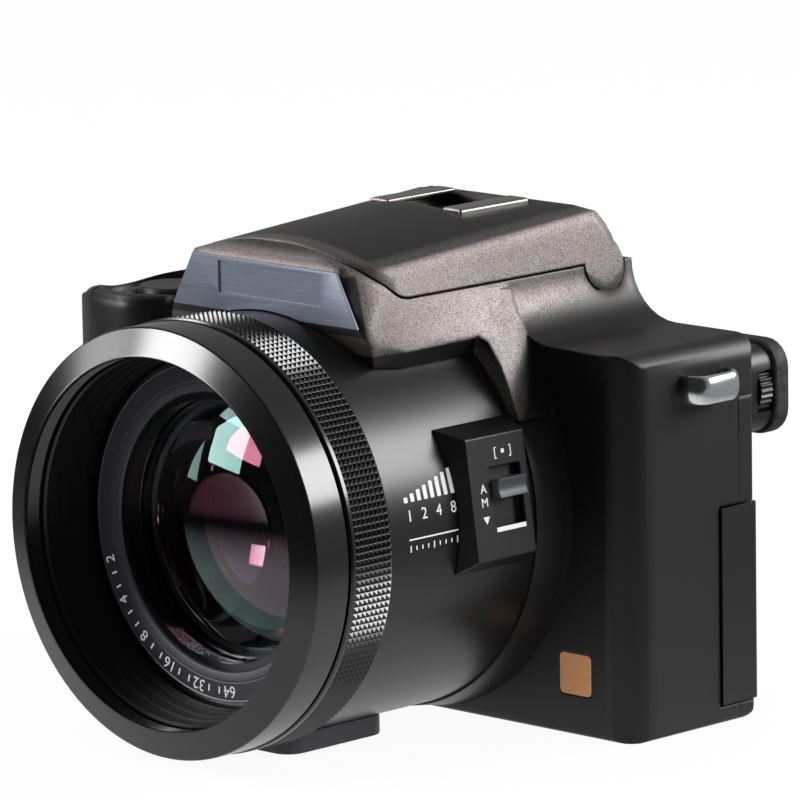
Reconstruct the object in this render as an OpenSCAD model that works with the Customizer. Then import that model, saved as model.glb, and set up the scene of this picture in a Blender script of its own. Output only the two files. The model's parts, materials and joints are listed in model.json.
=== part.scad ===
// Bridge camera with a fixed zoom lens, a flash lid over the lens and an electronic finder.
// The lens looks along -Y, +X is the terminal side, and the base rests on Z = 0.

/* [Body] */
// Width of the body without the strap lugs
body_w = 127.6; // [122:0.2:134]
// Depth of the body from its front wall to its back wall
body_d = 30.8; // [30:0.2:36]
// Fall from the lid seam to the shoulder beside the finder
shoulder_drop = 10; // [9.5:0.1:10.8]
// Fall from the lid seam to the control deck over the grip
deck_drop = 8.7; // [7.5:0.1:9.5]
// Fall of the deck towards the outer end of the grip
deck_fall = 8.3; // [4:0.1:9]
// Fall from the lid seam to the seam under the control deck
split_drop = 20; // [19:0.1:20.5]
// Distance from the front wall to the seam between the case halves
part_d = 26.5; // [25.5:0.1:27.5]
// Thickness of the moulded walls
wall = 2; // [1.7:0.1:2.2]
// Radius of the upright corners at the front
front_r = 6; // [4:0.5:8]
// Radius of the upright corner at the back of the grip
back_r = 5; // [3:0.5:6]
// Radius of the upright corner at the back of the terminal side
side_back_r = 1.2; // [0.8:0.1:2]
// Radius of the outer top edges
top_r = 4; // [3:0.5:5]
// Radius of the bottom edges
base_r = 1.2; // [0.8:0.1:2]
// Radius of the bottom edge at the back
base_back_r = 3.5; // [3:0.5:5]

/* [Grip] */
// Width of the grip
grip_w = 30; // [28:0.5:31]
// Reach of the grip ahead of the front wall
grip_reach = 14.7; // [12:0.1:17]
// Radius of the outer front corner of the grip
grip_outer_r = 22; // [18:0.5:22]
// Radius of the inner front corner of the grip
grip_inner_r = 8; // [5:0.5:8]
// Thickness of the rubber skin on the grip
skin_t = 1.1; // [0.8:0.1:1.2]
// Height of the lower edge of the rubber skin
skin_low_z = 6; // [5:0.5:10]
// Room between the rubber skin and the seam under the control deck
skin_drop = 5; // [3.5:0.5:10]

/* [Lens] */
// Distance from the lens axis to the terminal side of the body
lens_to_side = 49.65; // [48:0.05:52]
// Radius of the fixed barrel
barrel_r = 35.2; // [34:0.1:38]
// Room between the barrel and the plane that the base rests on
lens_lift = 1.8; // [1:0.1:3]
// Distance from the front wall to the front of the lens
lens_reach = 60.5; // [58:0.5:63]
// Step from the barrel out to the smooth front ring
ring_step = 0.65; // [0.3:0.05:0.8]
// Step from the barrel in to the mouth of the front ring
mouth_step = 4.3; // [3.7:0.1:5.2]
// Length of the smooth front ring
ring_len = 8.8; // [7:0.1:10]
// Depth of the bevel on the front ring
ring_bevel = 1.5; // [1:0.1:2.5]
// Step from the barrel out to the focus ring
focus_step = 1; // [0.6:0.05:1.3]
// Length of the focus ring
focus_len = 9.6; // [8:0.1:11]
// Number of knurl rows on the focus ring
knurl_rows = 8; // [4:1:10]
// Depth of the knurl grooves
knurl_d = 0.5; // [0.3:0.05:0.6]
// Step from the barrel in to the bearing sleeve under the focus ring
sleeve_step = 0.8; // [0.6:0.05:1.1]
// Wall of the fixed barrel
barrel_wall = 2.6; // [2.2:0.1:3.2]
// Step from the barrel out to the collar where it meets the body
collar_step = 1.6; // [1.2:0.1:2.3]
// Length of the collar where the barrel meets the body
collar_len = 7.5; // [6:0.1:9]
// Step from the fixed barrel in to the sliding zoom barrel
zoom_step = 6.2; // [5.7:0.1:7.2]
// Wall of the sliding zoom barrel
zoom_wall = 1.6; // [1.2:0.1:2]
// Length of the sliding zoom barrel
zoom_len = 34; // [30:0.5:36]
// Depth of the zoom barrel's face behind the front of the lens at rest
zoom_recess = 14.7; // [13:0.1:17]
// Step from the zoom barrel in to the front glass
glass_step = 7; // [6:0.1:9]
// Radius of the front glass's outer curve
glass_curve = 52; // [40:1:70]
// Width of the pad under the barrel
foot_w = 22; // [16:0.5:24]
// Length of the pad under the barrel
foot_len = 23.4; // [16:0.2:24]

/* [Focus switch] */
// Tilt of the switch panel above the side of the barrel
panel_tilt = 8; // [4:0.5:10]
// Height of the panel's face over the barrel
panel_step = 2.6; // [2.2:0.1:3]
// Length of the panel along the barrel
panel_len = 13.8; // [13:0.1:15]
// Height of the panel
panel_h = 20.3; // [19:0.1:22]
// Rise of the panel's middle over the slot's zero
panel_lift = 1.2; // [0.6:0.1:1.6]
// Distance from the front wall to the near edge of the panel
panel_back = 10.8; // [10.4:0.1:11.5]
// Width of the slot in the panel
slot_w = 7; // [6.5:0.1:8]
// Height of the slot in the panel
slot_h = 10.3; // [9.8:0.1:11]
// Height of the sliding knob
knob_h = 3.2; // [3:0.1:3.6]

/* [Flash tower] */
// Half width of the tower at the lid seam
tower_half = 22.2; // [21.6:0.1:22.8]
// Height of the lid seam over the top of the barrel
seam_rise = 2.8; // [2.4:0.1:3.2]
// Lean of the tower's sides
tower_lean = 14; // [12:0.5:16]
// Height of the roof's crest over the lid seam
roof_rise = 10.8; // [10.4:0.1:11.2]
// Radius of the roof's arch
roof_r = 55; // [48:1:65]
// Reach of the tower ahead of the front wall
tower_reach = 34.5; // [33:0.1:36]
// Fall of the roof towards the front
roof_tilt = 3.7; // [2.5:0.1:4.2]
// Radius at the back of the lid
lid_back_r = 14; // [13:0.5:15]
// Gap between the lid and the tower
lid_gap = 0.35; // [0.3:0.01:0.5]
// Distance of the lid's hinge behind the front wall
hinge_d = 24; // [23.8:0.1:24.2]
// Radius of the lid's round knuckles
knuckle_r = 4.7; // [4.4:0.1:4.8]
// Radius of the lid's hinge pin
pin_r = 0.9; // [0.8:0.05:1]
// Step from the barrel out to the saddle that joins it to the tower
saddle_step = 2.4; // [2.2:0.1:3.4]
// Length of the saddle that joins the tower to the barrel
saddle_len = 8.8; // [8.4:0.1:9.6]
// Thickness of the front plate
plate_t = 0.6; // [0.4:0.05:0.8]

/* [Hot shoe] */
// Outer width of the hot shoe
shoe_w = 21.4; // [20.8:0.1:22]
// Length of the hot shoe
shoe_len = 16.5; // [15:0.1:18.5]
// Opening between the lips of the hot shoe
shoe_mouth = 12.6; // [12:0.1:13]
// Thickness of the hot shoe's sheet
shoe_t = 0.8; // [0.6:0.05:0.9]
// Height of the hot shoe over its seat
shoe_h = 3.2; // [3:0.1:3.6]
// Distance of the hot shoe behind the front wall
shoe_d = 1.5; // [0.5:0.1:2]

/* [Finder and screen] */
// Width of the finder housing
finder_w = 36.5; // [34:0.5:38]
// Height of the finder housing
finder_h = 15; // [14:0.1:15.5]
// Fall from the shoulder to the finder's lower side
finder_drop = 19.2; // [18.6:0.1:19.6]
// Distance from the terminal side to the finder housing
finder_inset = 6.1; // [5:0.1:7]
// Length of the finder housing
finder_len = 11.35; // [10.6:0.05:12]
// Thickness of the rubber eyecup
eyecup_t = 3.6; // [3:0.1:4.2]
// Width of the screen window
screen_w = 45; // [42:0.5:46]
// Room between the screen window and the finder
screen_drop = 5; // [4:0.5:9]
// Height of the screen's lower side
screen_z = 5; // [4.5:0.1:5.5]
// Radius of the dioptre wheel
wheel_r = 5; // [4.6:0.1:5.2]

/* [Doors] */
// Height of the terminal door
tdoor_h = 33.4; // [30:0.2:35]
// Height of the terminal door's lower side
tdoor_z = 3.3; // [3:0.1:4]
// Length of the terminal door along the side
tdoor_len = 8.8; // [8.4:0.1:9.2]
// Width of the terminal door on the back
tdoor_wrap = 5; // [4.6:0.1:5.4]
// Width of the battery door
bdoor_w = 20; // [18:0.5:20.5]
// Length of the battery door
bdoor_len = 24; // [20:0.5:24.5]
// Radius of the door knuckles
door_knuckle_r = 1.1; // [1:0.05:1.15]

/* [Controls] */
// Radius of the shutter button
shutter_r = 6; // [5.5:0.1:6.4]
// Radius of the zoom lever's ring
lever_r = 8.7; // [8.4:0.1:9.4]
// Radius of the mode dial
dial_r = 9; // [8:0.1:9.4]
// Height of the mode dial
dial_h = 6.5; // [5.5:0.1:7.5]
// Radius of the round back buttons
button_r = 3; // [2.6:0.1:3.3]
// Height of the back buttons over the wall
button_h = 1.3; // [1:0.1:1.6]
// Spacing of the arrow buttons from the middle of the pad
arrow_pitch = 9; // [8.4:0.1:10]

/* [Fits] */
// Running clearance of shafts and rings, on the radius
run_gap = 0.05; // [0.03:0.01:0.08]
// Clearance of buttons and sliding knobs in their holes
slide_gap = 0.2; // [0.15:0.01:0.3]
// Clearance round the doors
door_gap = 0.35; // [0.3:0.01:0.45]
// Clearance between fixed pieces that lie round each other
seat_gap = 0.05; // [0.03:0.01:0.08]

/* [Mounts] */
// Radius of the tripod thread
tripod_r = 3.175; // [3.1:0.025:3.25]
// Depth of the tripod thread
tripod_depth = 7; // [5:0.5:8]
// Thickness of the strap lugs
lug_t = 4.9; // [4:0.1:5]
// Length of the strap lugs
lug_len = 12; // [10:0.2:13]
// Reach of the strap lugs beyond the body
lug_reach = 4.7; // [4:0.1:5.5]

/* [Hidden] */
$fn = 64;
eps = 0.5;

// Places of the main planes
half_w = body_w / 2;
lens_z = barrel_r + lens_lift;
seam_z = lens_z + barrel_r + seam_rise;
roof_z = seam_z + roof_rise;
shoulder_z = seam_z - shoulder_drop;
deck_z = seam_z - deck_drop;
deck_end_z = deck_z - deck_fall;
split_z = seam_z - split_drop;
finder_z = shoulder_z - finder_drop;
eyecup_reach = finder_len + eyecup_t;
total_d = lens_reach + body_d + eyecup_reach;
front_y = lens_reach - total_d / 2;
rear_y = front_y + body_d;
part_y = front_y + part_d;
lens_x = half_w - lens_to_side;
grip_y = front_y - grip_reach;
grip_x = -half_w + grip_w;
grip_mid_x = -half_w + grip_outer_r;
top_z = seam_z + 20;

// Radii of the lens pieces
ring_r = barrel_r + ring_step;
mouth_r = barrel_r - mouth_step;
focus_r = barrel_r + focus_step;
sleeve_r = barrel_r - sleeve_step;
barrel_bore_r = barrel_r - barrel_wall;
collar_r = barrel_r + collar_step;
saddle_r = barrel_r + saddle_step;
zoom_r = barrel_r - zoom_step;
glass_r = zoom_r - glass_step;
panel_r = barrel_r + panel_step;

// Lens places, as distances ahead of the front wall
ring_back = lens_reach - ring_len;
focus_gap = 0.3;
focus_front = ring_back - focus_gap;
focus_back = focus_front - focus_len;
barrel_front = focus_back - focus_gap;
knurl_front_lip = 1.3;
knurl_back_lip = 0.3;
spigot_r = barrel_r - 1.2;
guide_r = barrel_bore_r - seat_gap;
guide_bore_r = zoom_r + run_gap;
guide_front = lens_reach - zoom_recess - 0.4;
guide_flange = 1.5;
flange_hole_r = 15;
zoom_front = lens_reach - zoom_recess;
zoom_back = zoom_front - zoom_len;
name_ring_t = 0.6;
name_ring_in = glass_r + 1.2;
name_ring_out = zoom_r - 0.6;
glass_t = 5;
group_t = 5;
group_back = -0.6;
sensor_len = 12;
sensor_w = 30;
tube_wall = 2;

// Tower, hinge and lid places
lid_back = hinge_d + 4.4;
front_wall_t = 2.3;
lid_front = tower_reach - plate_t - front_wall_t + 0.2;
badge_top_z = seam_z + 5.4;
badge_low_z = seam_z - 3.6;
badge_top_half = 16.7;
badge_low_half = 21.5;
hood_wall = 2.6;
socket_r = knuckle_r + 0.4;
ear_t = 2;
ear_x = tower_half - wall - 1.3;
ear_r = 2;
lid_wall = wall;
shoe_sink = 3.9;
shoe_seat_z = roof_z - shoe_sink;
shoe_gap = 0.15;

// Half the length of blocks that cut right through the tower
cut_half = 40;

// Side of the tower at a height, leaning in as it rises
function tower_x(z) = tower_half + (seam_z - z) * tan(tower_lean);

// Rounds the corners of a list of [x, y, radius] points
function flat(p) = [p[0], p[1]];
function unit(v) = v / norm(v);
function corner(a, b, c, r, n) =
    let (
        u = unit(a - b),
        v = unit(c - b),
        half = acos(u * v) / 2,
        reach = r / tan(half),
        centre = b + unit(u + v) * r / sin(half),
        p = b + u * reach - centre,
        q = b + v * reach - centre,
        start = atan2(p[1], p[0]),
        raw = atan2(q[1], q[0]) - start,
        turn = raw > 180 ? raw - 360 : raw < -180 ? raw + 360 : raw
    )
    [for (k = [0 : n]) centre + r * [cos(start + turn * k / n), sin(start + turn * k / n)]];
function rounded(pts, n = 6) =
    let (count = len(pts))
    [for (k = [0 : count - 1])
        each pts[k][2] > 0
            ? corner(flat(pts[(k + count - 1) % count]), flat(pts[k]), flat(pts[(k + 1) % count]), pts[k][2], n)
            : [flat(pts[k])]];
function arc(cx, cy, r, a0, a1, n) =
    [for (k = [0 : n]) [cx + r * cos(a0 + (a1 - a0) * k / n), cy + r * sin(a0 + (a1 - a0) * k / n)]];
function box_outline(x0, y0, x1, y1, r) = rounded([[x0, y0, r], [x1, y0, r], [x1, y1, r], [x0, y1, r]]);
// Outline of a serrated wheel
function serrated(r, depth, teeth) =
    [for (k = [0 : 2 * teeth - 1])
        let (reach = k % 2 == 0 ? r : r - depth)
        [reach * cos(180 * k / teeth), reach * sin(180 * k / teeth)]];

// Extrusions and rods along each axis
module along_y(y0, y1) translate([0, y1, 0]) rotate([90, 0, 0]) linear_extrude(y1 - y0) children();
module along_x(x0, x1) translate([x0, 0, 0]) rotate([90, 0, 90]) linear_extrude(x1 - x0) children();
module along_z(z0, z1) translate([0, 0, z0]) linear_extrude(z1 - z0) children();
module block(x0, x1, y0, y1, z0, z1) translate([x0, y0, z0]) cube([x1 - x0, y1 - y0, z1 - z0]);
module x_rod(y, z, r, x0, x1) translate([x0, y, z]) rotate([0, 90, 0]) cylinder(r = r, h = x1 - x0);
module y_rod(x, z, r, y0, y1) translate([x, y0, z]) rotate([-90, 0, 0]) cylinder(r = r, h = y1 - y0);
module z_rod(x, y, r, z0, z1) translate([x, y, z0]) cylinder(r = r, h = z1 - z0);
// Moves pieces to the lens: X on the lens axis, Y from the front wall
module at_lens() translate([lens_x, front_y, 0]) children();
// Turns an outline of [radius, distance ahead of the front wall] round the lens axis
module lens_turn(outline)
    translate([lens_x, front_y, lens_z]) rotate([90, 0, 0]) rotate_extrude($fn = 128) polygon(outline);
module barrel_space(r, y0, y1) at_lens() translate([0, y0, lens_z]) rotate([-90, 0, 0]) cylinder(r = r, h = y1 - y0, $fn = 128);

// Outlines of the body seen from above, inset by i
function main_plan(i) = rounded([
    [grip_mid_x + i, front_y + i, 0],
    [half_w - i, front_y + i, front_r - i],
    [half_w - i, rear_y - i, side_back_r - i],
    [grip_mid_x + i, rear_y - i, 0]]);
function grip_plan(i) = rounded([
    [-half_w + i, grip_y + i, grip_outer_r - i],
    [grip_x - i, grip_y + i, grip_inner_r - i],
    [grip_x - i, rear_y - i, 0],
    [-half_w + i, rear_y - i, back_r - i]], 8);
// Outline of the two case halves seen from the front, and of their sides
function case_face(i) = rounded([
    [-half_w + i, i, base_r - i],
    [half_w - i, i, base_r - i],
    [half_w - i, split_z + eps, 0],
    [-half_w + i, split_z + eps, 0]]);
function case_side(i, y0) = rounded([
    [y0 + i, i, base_r - i],
    [rear_y - i, i, base_back_r - i],
    [rear_y - i, split_z + eps, 0],
    [y0 + i, split_z + eps, 0]]);
// Outline of the top cover seen from the front, in lens coordinates
deck_run = 10;
deck_slope = atan((deck_z - deck_end_z) / deck_run);
function cover_face(i, low_z, high_z) = concat(
    [[lens_to_side - i, low_z]],
    corner([lens_to_side - i, low_z], [lens_to_side - i, shoulder_z - i], [tower_half, shoulder_z - i], top_r - i, 6),
    arc(tower_half + seam_z - shoulder_z, seam_z, seam_z - shoulder_z + i, 270, 180, 8),
    [[tower_half - i, high_z], [i - tower_half, high_z]],
    arc(deck_z - seam_z - tower_half, seam_z, seam_z - deck_z + i, 0, -80, 7),
    rounded([
        [deck_z - seam_z - tower_half, deck_z - i, 0],
        [i * tan(deck_slope / 2) + lens_to_side - body_w + deck_run, deck_z - i, deck_run - i],
        [i + lens_to_side - body_w, deck_end_z + i * tan(deck_slope) - i / cos(deck_slope), 2.4],
        [i + lens_to_side - body_w, low_z, 0],
        [lens_to_side - i, low_z, 0]]));

// Whole body between two heights and two depths, inset by i
module case_form(i, z0) {
    intersection() {
        along_z(z0, split_z) polygon(main_plan(i));
        along_y(front_y, rear_y) polygon(case_face(i));
        along_x(-half_w, half_w) polygon(case_side(i, front_y));
    }
    intersection() {
        along_z(z0, split_z) polygon(grip_plan(i));
        along_y(grip_y, rear_y) polygon(case_face(i));
        along_x(-half_w, half_w) polygon(case_side(i, grip_y));
    }
}
module case_shell() difference() {
    case_form(0, 0);
    case_form(wall, wall);
    translate([0, 0, wall]) intersection() {
        case_form(wall, wall);
        block(-half_w, half_w, grip_y, rear_y, split_z - 2 * wall, split_z + eps);
    }
}
module before_parting() block(-half_w - eps, half_w + eps, grip_y - eps, part_y, -eps, split_z + eps);
module behind_parting() block(-half_w - eps, half_w + eps, part_y, rear_y + eps, -eps, split_z + eps);

// Rubber skin round the front of the grip
skin_x = grip_x - 0.5;
skin_high_z = split_z - skin_drop;
skin_y = front_y + 14;
module skin_form(t) along_z(skin_low_z, skin_high_z) intersection() {
    difference() {
        polygon(grip_plan(0));
        polygon(grip_plan(t));
    }
    translate([-half_w - eps, grip_y - eps]) square([skin_x + half_w + eps, skin_y - grip_y + eps]);
}

// Terminal door, hinged upright on the back
tdoor_front_y = rear_y - tdoor_len;
tdoor_proud = 0.4;
tdoor_t = 1.8;
tdoor_axis = [half_w - tdoor_wrap, rear_y - 0.75];
tdoor_pin_r = 0.5;
function tdoor_plan(grow, out) =
    let (x0 = tdoor_axis[0] - grow, x1 = half_w + out, y0 = tdoor_front_y - grow, y1 = rear_y + out)
    rounded([
        [x0, y1, 0], [x0, rear_y - tdoor_t + tdoor_proud - grow, 0],
        [half_w - tdoor_t + tdoor_proud - grow, rear_y - tdoor_t + tdoor_proud - grow, 0],
        [half_w - tdoor_t + tdoor_proud - grow, y0, 0],
        [x1, y0, 0], [x1, y1, side_back_r]]);
module tdoor_space() {
    along_z(tdoor_z - door_gap, tdoor_z + tdoor_h + door_gap) {
        polygon(tdoor_plan(door_gap, tdoor_t));
        translate(tdoor_axis) circle(door_knuckle_r + door_gap);
        translate(tdoor_axis) translate([-door_knuckle_r - 2 * door_gap, 0]) square([door_knuckle_r + 2 * door_gap, tdoor_t]);
    }
    z_rod(tdoor_axis[0], tdoor_axis[1], tdoor_pin_r + seat_gap, tdoor_z - 2, tdoor_z + tdoor_h + 2);
}

// Battery door in the base of the grip, hinged along Y beside the lens
bdoor_x1 = grip_x - 2.2;
bdoor_x0 = bdoor_x1 - bdoor_w;
bdoor_y0 = front_y - 4.4;
bdoor_y1 = bdoor_y0 + bdoor_len;
bdoor_low_z = 0.3;
bdoor_t = 1.7;
bdoor_axis_x = bdoor_x1 + 0.6;
bdoor_axis_z = bdoor_low_z + door_knuckle_r;
bdoor_pin_r = 0.5;
bdoor_ear = 2.5;
module bdoor_space() {
    block(bdoor_x0 - door_gap, bdoor_axis_x, bdoor_y0 - door_gap, bdoor_y1 + door_gap, -eps, wall + eps);
    y_rod(bdoor_axis_x, bdoor_axis_z, door_knuckle_r + door_gap, bdoor_y0 - door_gap, bdoor_y1 + door_gap);
    block(bdoor_axis_x - eps, bdoor_axis_x + door_knuckle_r + door_gap, bdoor_y0 - door_gap, bdoor_y1 + door_gap, -eps, bdoor_axis_z);
    y_rod(bdoor_axis_x, bdoor_axis_z, bdoor_pin_r + seat_gap, bdoor_y0 - bdoor_ear + seat_gap, bdoor_y1 + bdoor_ear - seat_gap);
}
module bdoor_ears() for (y = [bdoor_y0 - door_gap - bdoor_ear, bdoor_y1 + door_gap])
    block(bdoor_axis_x - 1.6, bdoor_axis_x + 1.6, y, y + bdoor_ear, wall - eps, bdoor_axis_z + 1.6);

// Tripod bush and base screws
bush_y = front_y + 15;
bush_r = tripod_r + 2;
bush_flange_r = bush_r + 2;
bush_h = tripod_depth + 2;
screw_r = 1.9;
screw_h = 1;
screw_places = [
    [half_w - 8, front_y + 7], [half_w - 12, rear_y - 10], [grip_x + 8, front_y + 7], [-half_w + 11, rear_y - 7]];

// Places of the back controls, as [x, z]
pad_x = grip_x - 4;
pad_z = 25;
arrow_places = [
    [pad_x, pad_z + arrow_pitch], [pad_x, pad_z - arrow_pitch],
    [pad_x - arrow_pitch, pad_z], [pad_x + arrow_pitch, pad_z]];
menu_place = [pad_x, pad_z];
delete_place = [pad_x - 13, pad_z - 15];
display_place = [pad_x + 17, pad_z - 15];
lock_place = [pad_x + 2, split_z - 7];
finder_place = [pad_x + 19, split_z - 7];
button_places = concat(arrow_places, [menu_place, delete_place, display_place, lock_place, finder_place]);
button_flange_r = button_r + 0.9;
button_flange_t = 0.9;
flange_gap = 0.1;

// Back case half with the screen window and the button holes
screen_x = lens_x - 14;
screen_h = finder_z - screen_drop - screen_z;
screen_edge = 1;
screen_proud = 0.3;
module screen_outline(grow) polygon(box_outline(
    screen_x - grow, screen_z - grow, screen_x + screen_w + grow, screen_z + screen_h + grow, 1.5 + grow));
module rear_case() color("#222222") difference() {
    intersection() {
        case_shell();
        behind_parting();
    }
    along_y(rear_y - wall - eps, rear_y + eps) screen_outline(seat_gap);
    for (p = button_places) y_rod(p[0], p[1], button_r + slide_gap, rear_y - wall - eps, rear_y + eps);
    tdoor_space();
}

// Tower over the lens: its whole outer form, inset by i, in lens coordinates
function tower_face(i) =
    let (
        edge_z = roof_z - 3.6,
        half_arch = asin((tower_x(edge_z) - 1.2) / roof_r))
    concat(
        [[tower_x(split_z) - i, split_z], [tower_x(edge_z) - i, edge_z]],
        arc(0, roof_z - roof_r, roof_r - i, 90 - half_arch, 90 + half_arch, 12),
        [[i - tower_x(edge_z), edge_z], [i - tower_x(split_z), split_z]]);
function tower_side(i) =
    let (front = plate_t - tower_reach + i)
    concat(
        [[front, split_z], [front, badge_top_z], [front + 2.4, roof_z - 1.8], [front + 2.4, top_z], [0, top_z]],
        arc(lid_back - lid_back_r, roof_z + 0.1 - lid_back_r, lid_back_r - i, 90, 0, 10),
        [[lid_back - i, split_z]]);
// Front cheek: a flat that runs from the edge of the front plate back into the side
cheek_back = 10.5;
module cheek_cut(side, i) {
    low = [badge_low_half, -tower_reach, badge_low_z];
    high = [badge_top_half, -tower_reach, badge_top_z + 0.2];
    back = [tower_x(badge_top_z) + 0.3, cheek_back - tower_reach, badge_top_z + 0.2];
    out = unit(cross(back - low, high - low));
    away = out[0] < 0 ? -out : out;
    place = low - away * i;
    mirror([side < 0 ? 1 : 0, 0, 0]) translate(place)
        rotate([0, acos(away[2]), atan2(away[1], away[0])]) block(-cut_half, cut_half, -cut_half, cut_half, 0, cut_half);
}
module tower_form(i) difference() {
    intersection() {
        along_y(-tower_reach, lid_back + eps) polygon(tower_face(i));
        translate([0, 0, roof_z]) rotate([roof_tilt, 0, 0]) translate([0, 0, -roof_z])
            along_y(-tower_reach - 5, lid_back + 5) polygon(tower_face(i));
        along_x(-tower_half - 10, tower_half + 10) polygon(tower_side(i));
    }
    for (side = [-1, 1]) cheek_cut(side, i);
}
// Space above the lid seam, which curves up to the front plate
module lid_zone(gap) along_x(-tower_half - 10, tower_half + 10) polygon(concat(
    rounded([
        [lid_back + 10, seam_z + gap, 0],
        [lid_back + 10, top_z, 0],
        [gap - lid_front, top_z, 0],
        [gap - lid_front, seam_z + 6 + gap, 1.5],
        [gap - lid_front + 7.4, seam_z + gap, 5]])));
module knuckles(r) x_rod(hinge_d, seam_z, r, -tower_half - 1, tower_half + 1);
pin_half = tower_half - 0.9;
module hinge_bore(r) x_rod(hinge_d, seam_z, r, -pin_half - seat_gap, pin_half + seat_gap);

// Fixed part of the tower ahead of the body. Its lower edge is a lip that is cut back to the barrel
lip_z = seam_z - 7.6;
lip_back = 9.5;
lip_rise = 27;
lip_cut = 22;
front_lip_z = badge_low_z - 0.4;
module lip_sides(lean, half) along_y(-2 * cut_half, 2 * cut_half) polygon([
    [-half + cut_half * tan(lean), -cut_half], [half - cut_half * tan(lean), -cut_half],
    [half + cut_half * tan(lean), cut_half], [-half - cut_half * tan(lean), cut_half]]);
module lip_form() intersection() {
    translate([0, lip_back - tower_reach, lip_z]) lip_sides(lip_cut, tower_x(lip_z));
    translate([0, lip_back - tower_reach, lip_z]) rotate([-lip_rise, 0, 0]) lip_sides(lip_cut, tower_x(lip_z));
    translate([0, plate_t - tower_reach, front_lip_z]) rotate([lip_cut, 0, 0])
        block(-cut_half, cut_half, 0, 2 * cut_half, -cut_half, cut_half);
}
module hood() difference() {
    intersection() {
        tower_form(0);
        lip_form();
        block(-cut_half, cut_half, -tower_reach, eps, split_z, top_z);
    }
    intersection() {
        tower_form(hood_wall);
        block(-cut_half, cut_half, -tower_reach, 2 * eps, lip_z, top_z);
    }
    lid_zone(0);
}

// Saddle round the barrel. Its outer face is a plane that leaves the side of the tower behind the lip and runs down to the collar
saddle_tip = 1;
saddle_lead = 2;
saddle_turn = 15.5;
saddle_rise = 30.7;
saddle_lean = 8;
saddle_front_low = 6;
saddle_front_high = 20;
module saddle_flank() translate([tower_x(lip_z), -saddle_len - saddle_lead, lip_z])
    rotate([0, -saddle_rise, -saddle_turn]) block(-cut_half, 0, -cut_half, cut_half, -cut_half, cut_half);
module saddle_front() translate([0, 0, lens_z]) rotate([90, 0, 0]) rotate_extrude($fn = 128) polygon([
    [barrel_r - saddle_front_low, saddle_len - (saddle_step + saddle_front_low) * tan(saddle_lean)],
    [saddle_r + saddle_front_high, saddle_len + saddle_front_high * tan(saddle_lean)],
    [saddle_r + saddle_front_high, saddle_len + cut_half],
    [barrel_r - saddle_front_low, saddle_len + cut_half]]);
module saddle(overlap) difference() {
    for (side = [0, 1]) mirror([side, 0, 0]) intersection() {
        saddle_flank();
        block(tower_half - wall, saddle_r + saddle_front_high, -saddle_len - saddle_lead, overlap, split_z - saddle_tip, seam_z - 1);
    }
    saddle_front();
}

// Control deck places
shutter_at = [lens_x - 57.3, front_y];
dial_at = [lens_x - 40.5, front_y + 21.5];
power_at = [lens_x - 58, front_y + 22];
// Dish that the shutter button and its lever are sunk in
lever_gap = 0.3;
lever_h = 3;
lever_tab = 3;
dish_d = 4.8;
dish_r = lever_r + lever_tab + 0.8;
dish_z = deck_z - dish_d;
neck_r = shutter_r + run_gap + 0.9;
neck_h = 2.4;
dial_shaft_r = 2;
power_slot = [9, 3];
power_travel = 4;

// Shell of the body above the case halves: shoulder, tower and control deck
module cover_body(i, z0, z1) intersection() {
    at_lens() along_y(-grip_reach, body_d) polygon(cover_face(i, z0, z1));
    union() {
        along_z(z0, z1) polygon(main_plan(i));
        along_z(z0, z1) polygon(grip_plan(i));
    }
}
module cover_shell() difference() {
    cover_body(0, split_z, seam_z);
    cover_body(wall, split_z - eps, seam_z + eps);
}
// Seam between the control deck and the shell of the tower
deck_edge = lens_x - tower_half - seam_z + deck_z - 0.5;
module deck_side() block(-half_w - eps, deck_edge, grip_y - eps, rear_y + eps, split_z - eps, top_z);
module tower_side_shell() block(deck_edge, half_w + eps, front_y - eps, rear_y + eps, split_z - eps, top_z);
ear_low_z = seam_z - 10;
ear_step_z = seam_z - 5.5;
module lid_ears() for (side = [-1, 1]) {
    x0 = side > 0 ? ear_x - ear_t : -ear_x;
    x_rod(hinge_d, seam_z, ear_r, x0, x0 + ear_t);
    block(x0, x0 + ear_t, hinge_d - ear_r, hinge_d + ear_r - 0.8, ear_low_z, seam_z);
    block(x0, x0 + ear_t, hinge_d - ear_r, body_d - wall / 2, ear_low_z, ear_step_z);
}
lamp_x = lens_x - 40;
lamp_z = split_z + 5;
lamp_r = 2.5;
module upper_cuts() {
    barrel_space(barrel_r + seat_gap, -tower_reach - 1, 0);
    barrel_space(collar_r + seat_gap, -collar_len - seat_gap, 0);
    at_lens() knuckles(socket_r);
    at_lens() hinge_bore(pin_r + seat_gap / 2);
    at_panel() panel_form(seat_gap);
}
module tower_shell() difference() {
    union() {
        intersection() {
            cover_shell();
            tower_side_shell();
        }
        at_lens() hood();
        at_lens() saddle(0);
        intersection() {
            at_lens() saddle(0.2);
            tower_side_shell();
        }
        at_lens() lid_ears();
    }
    upper_cuts();
}

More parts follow.
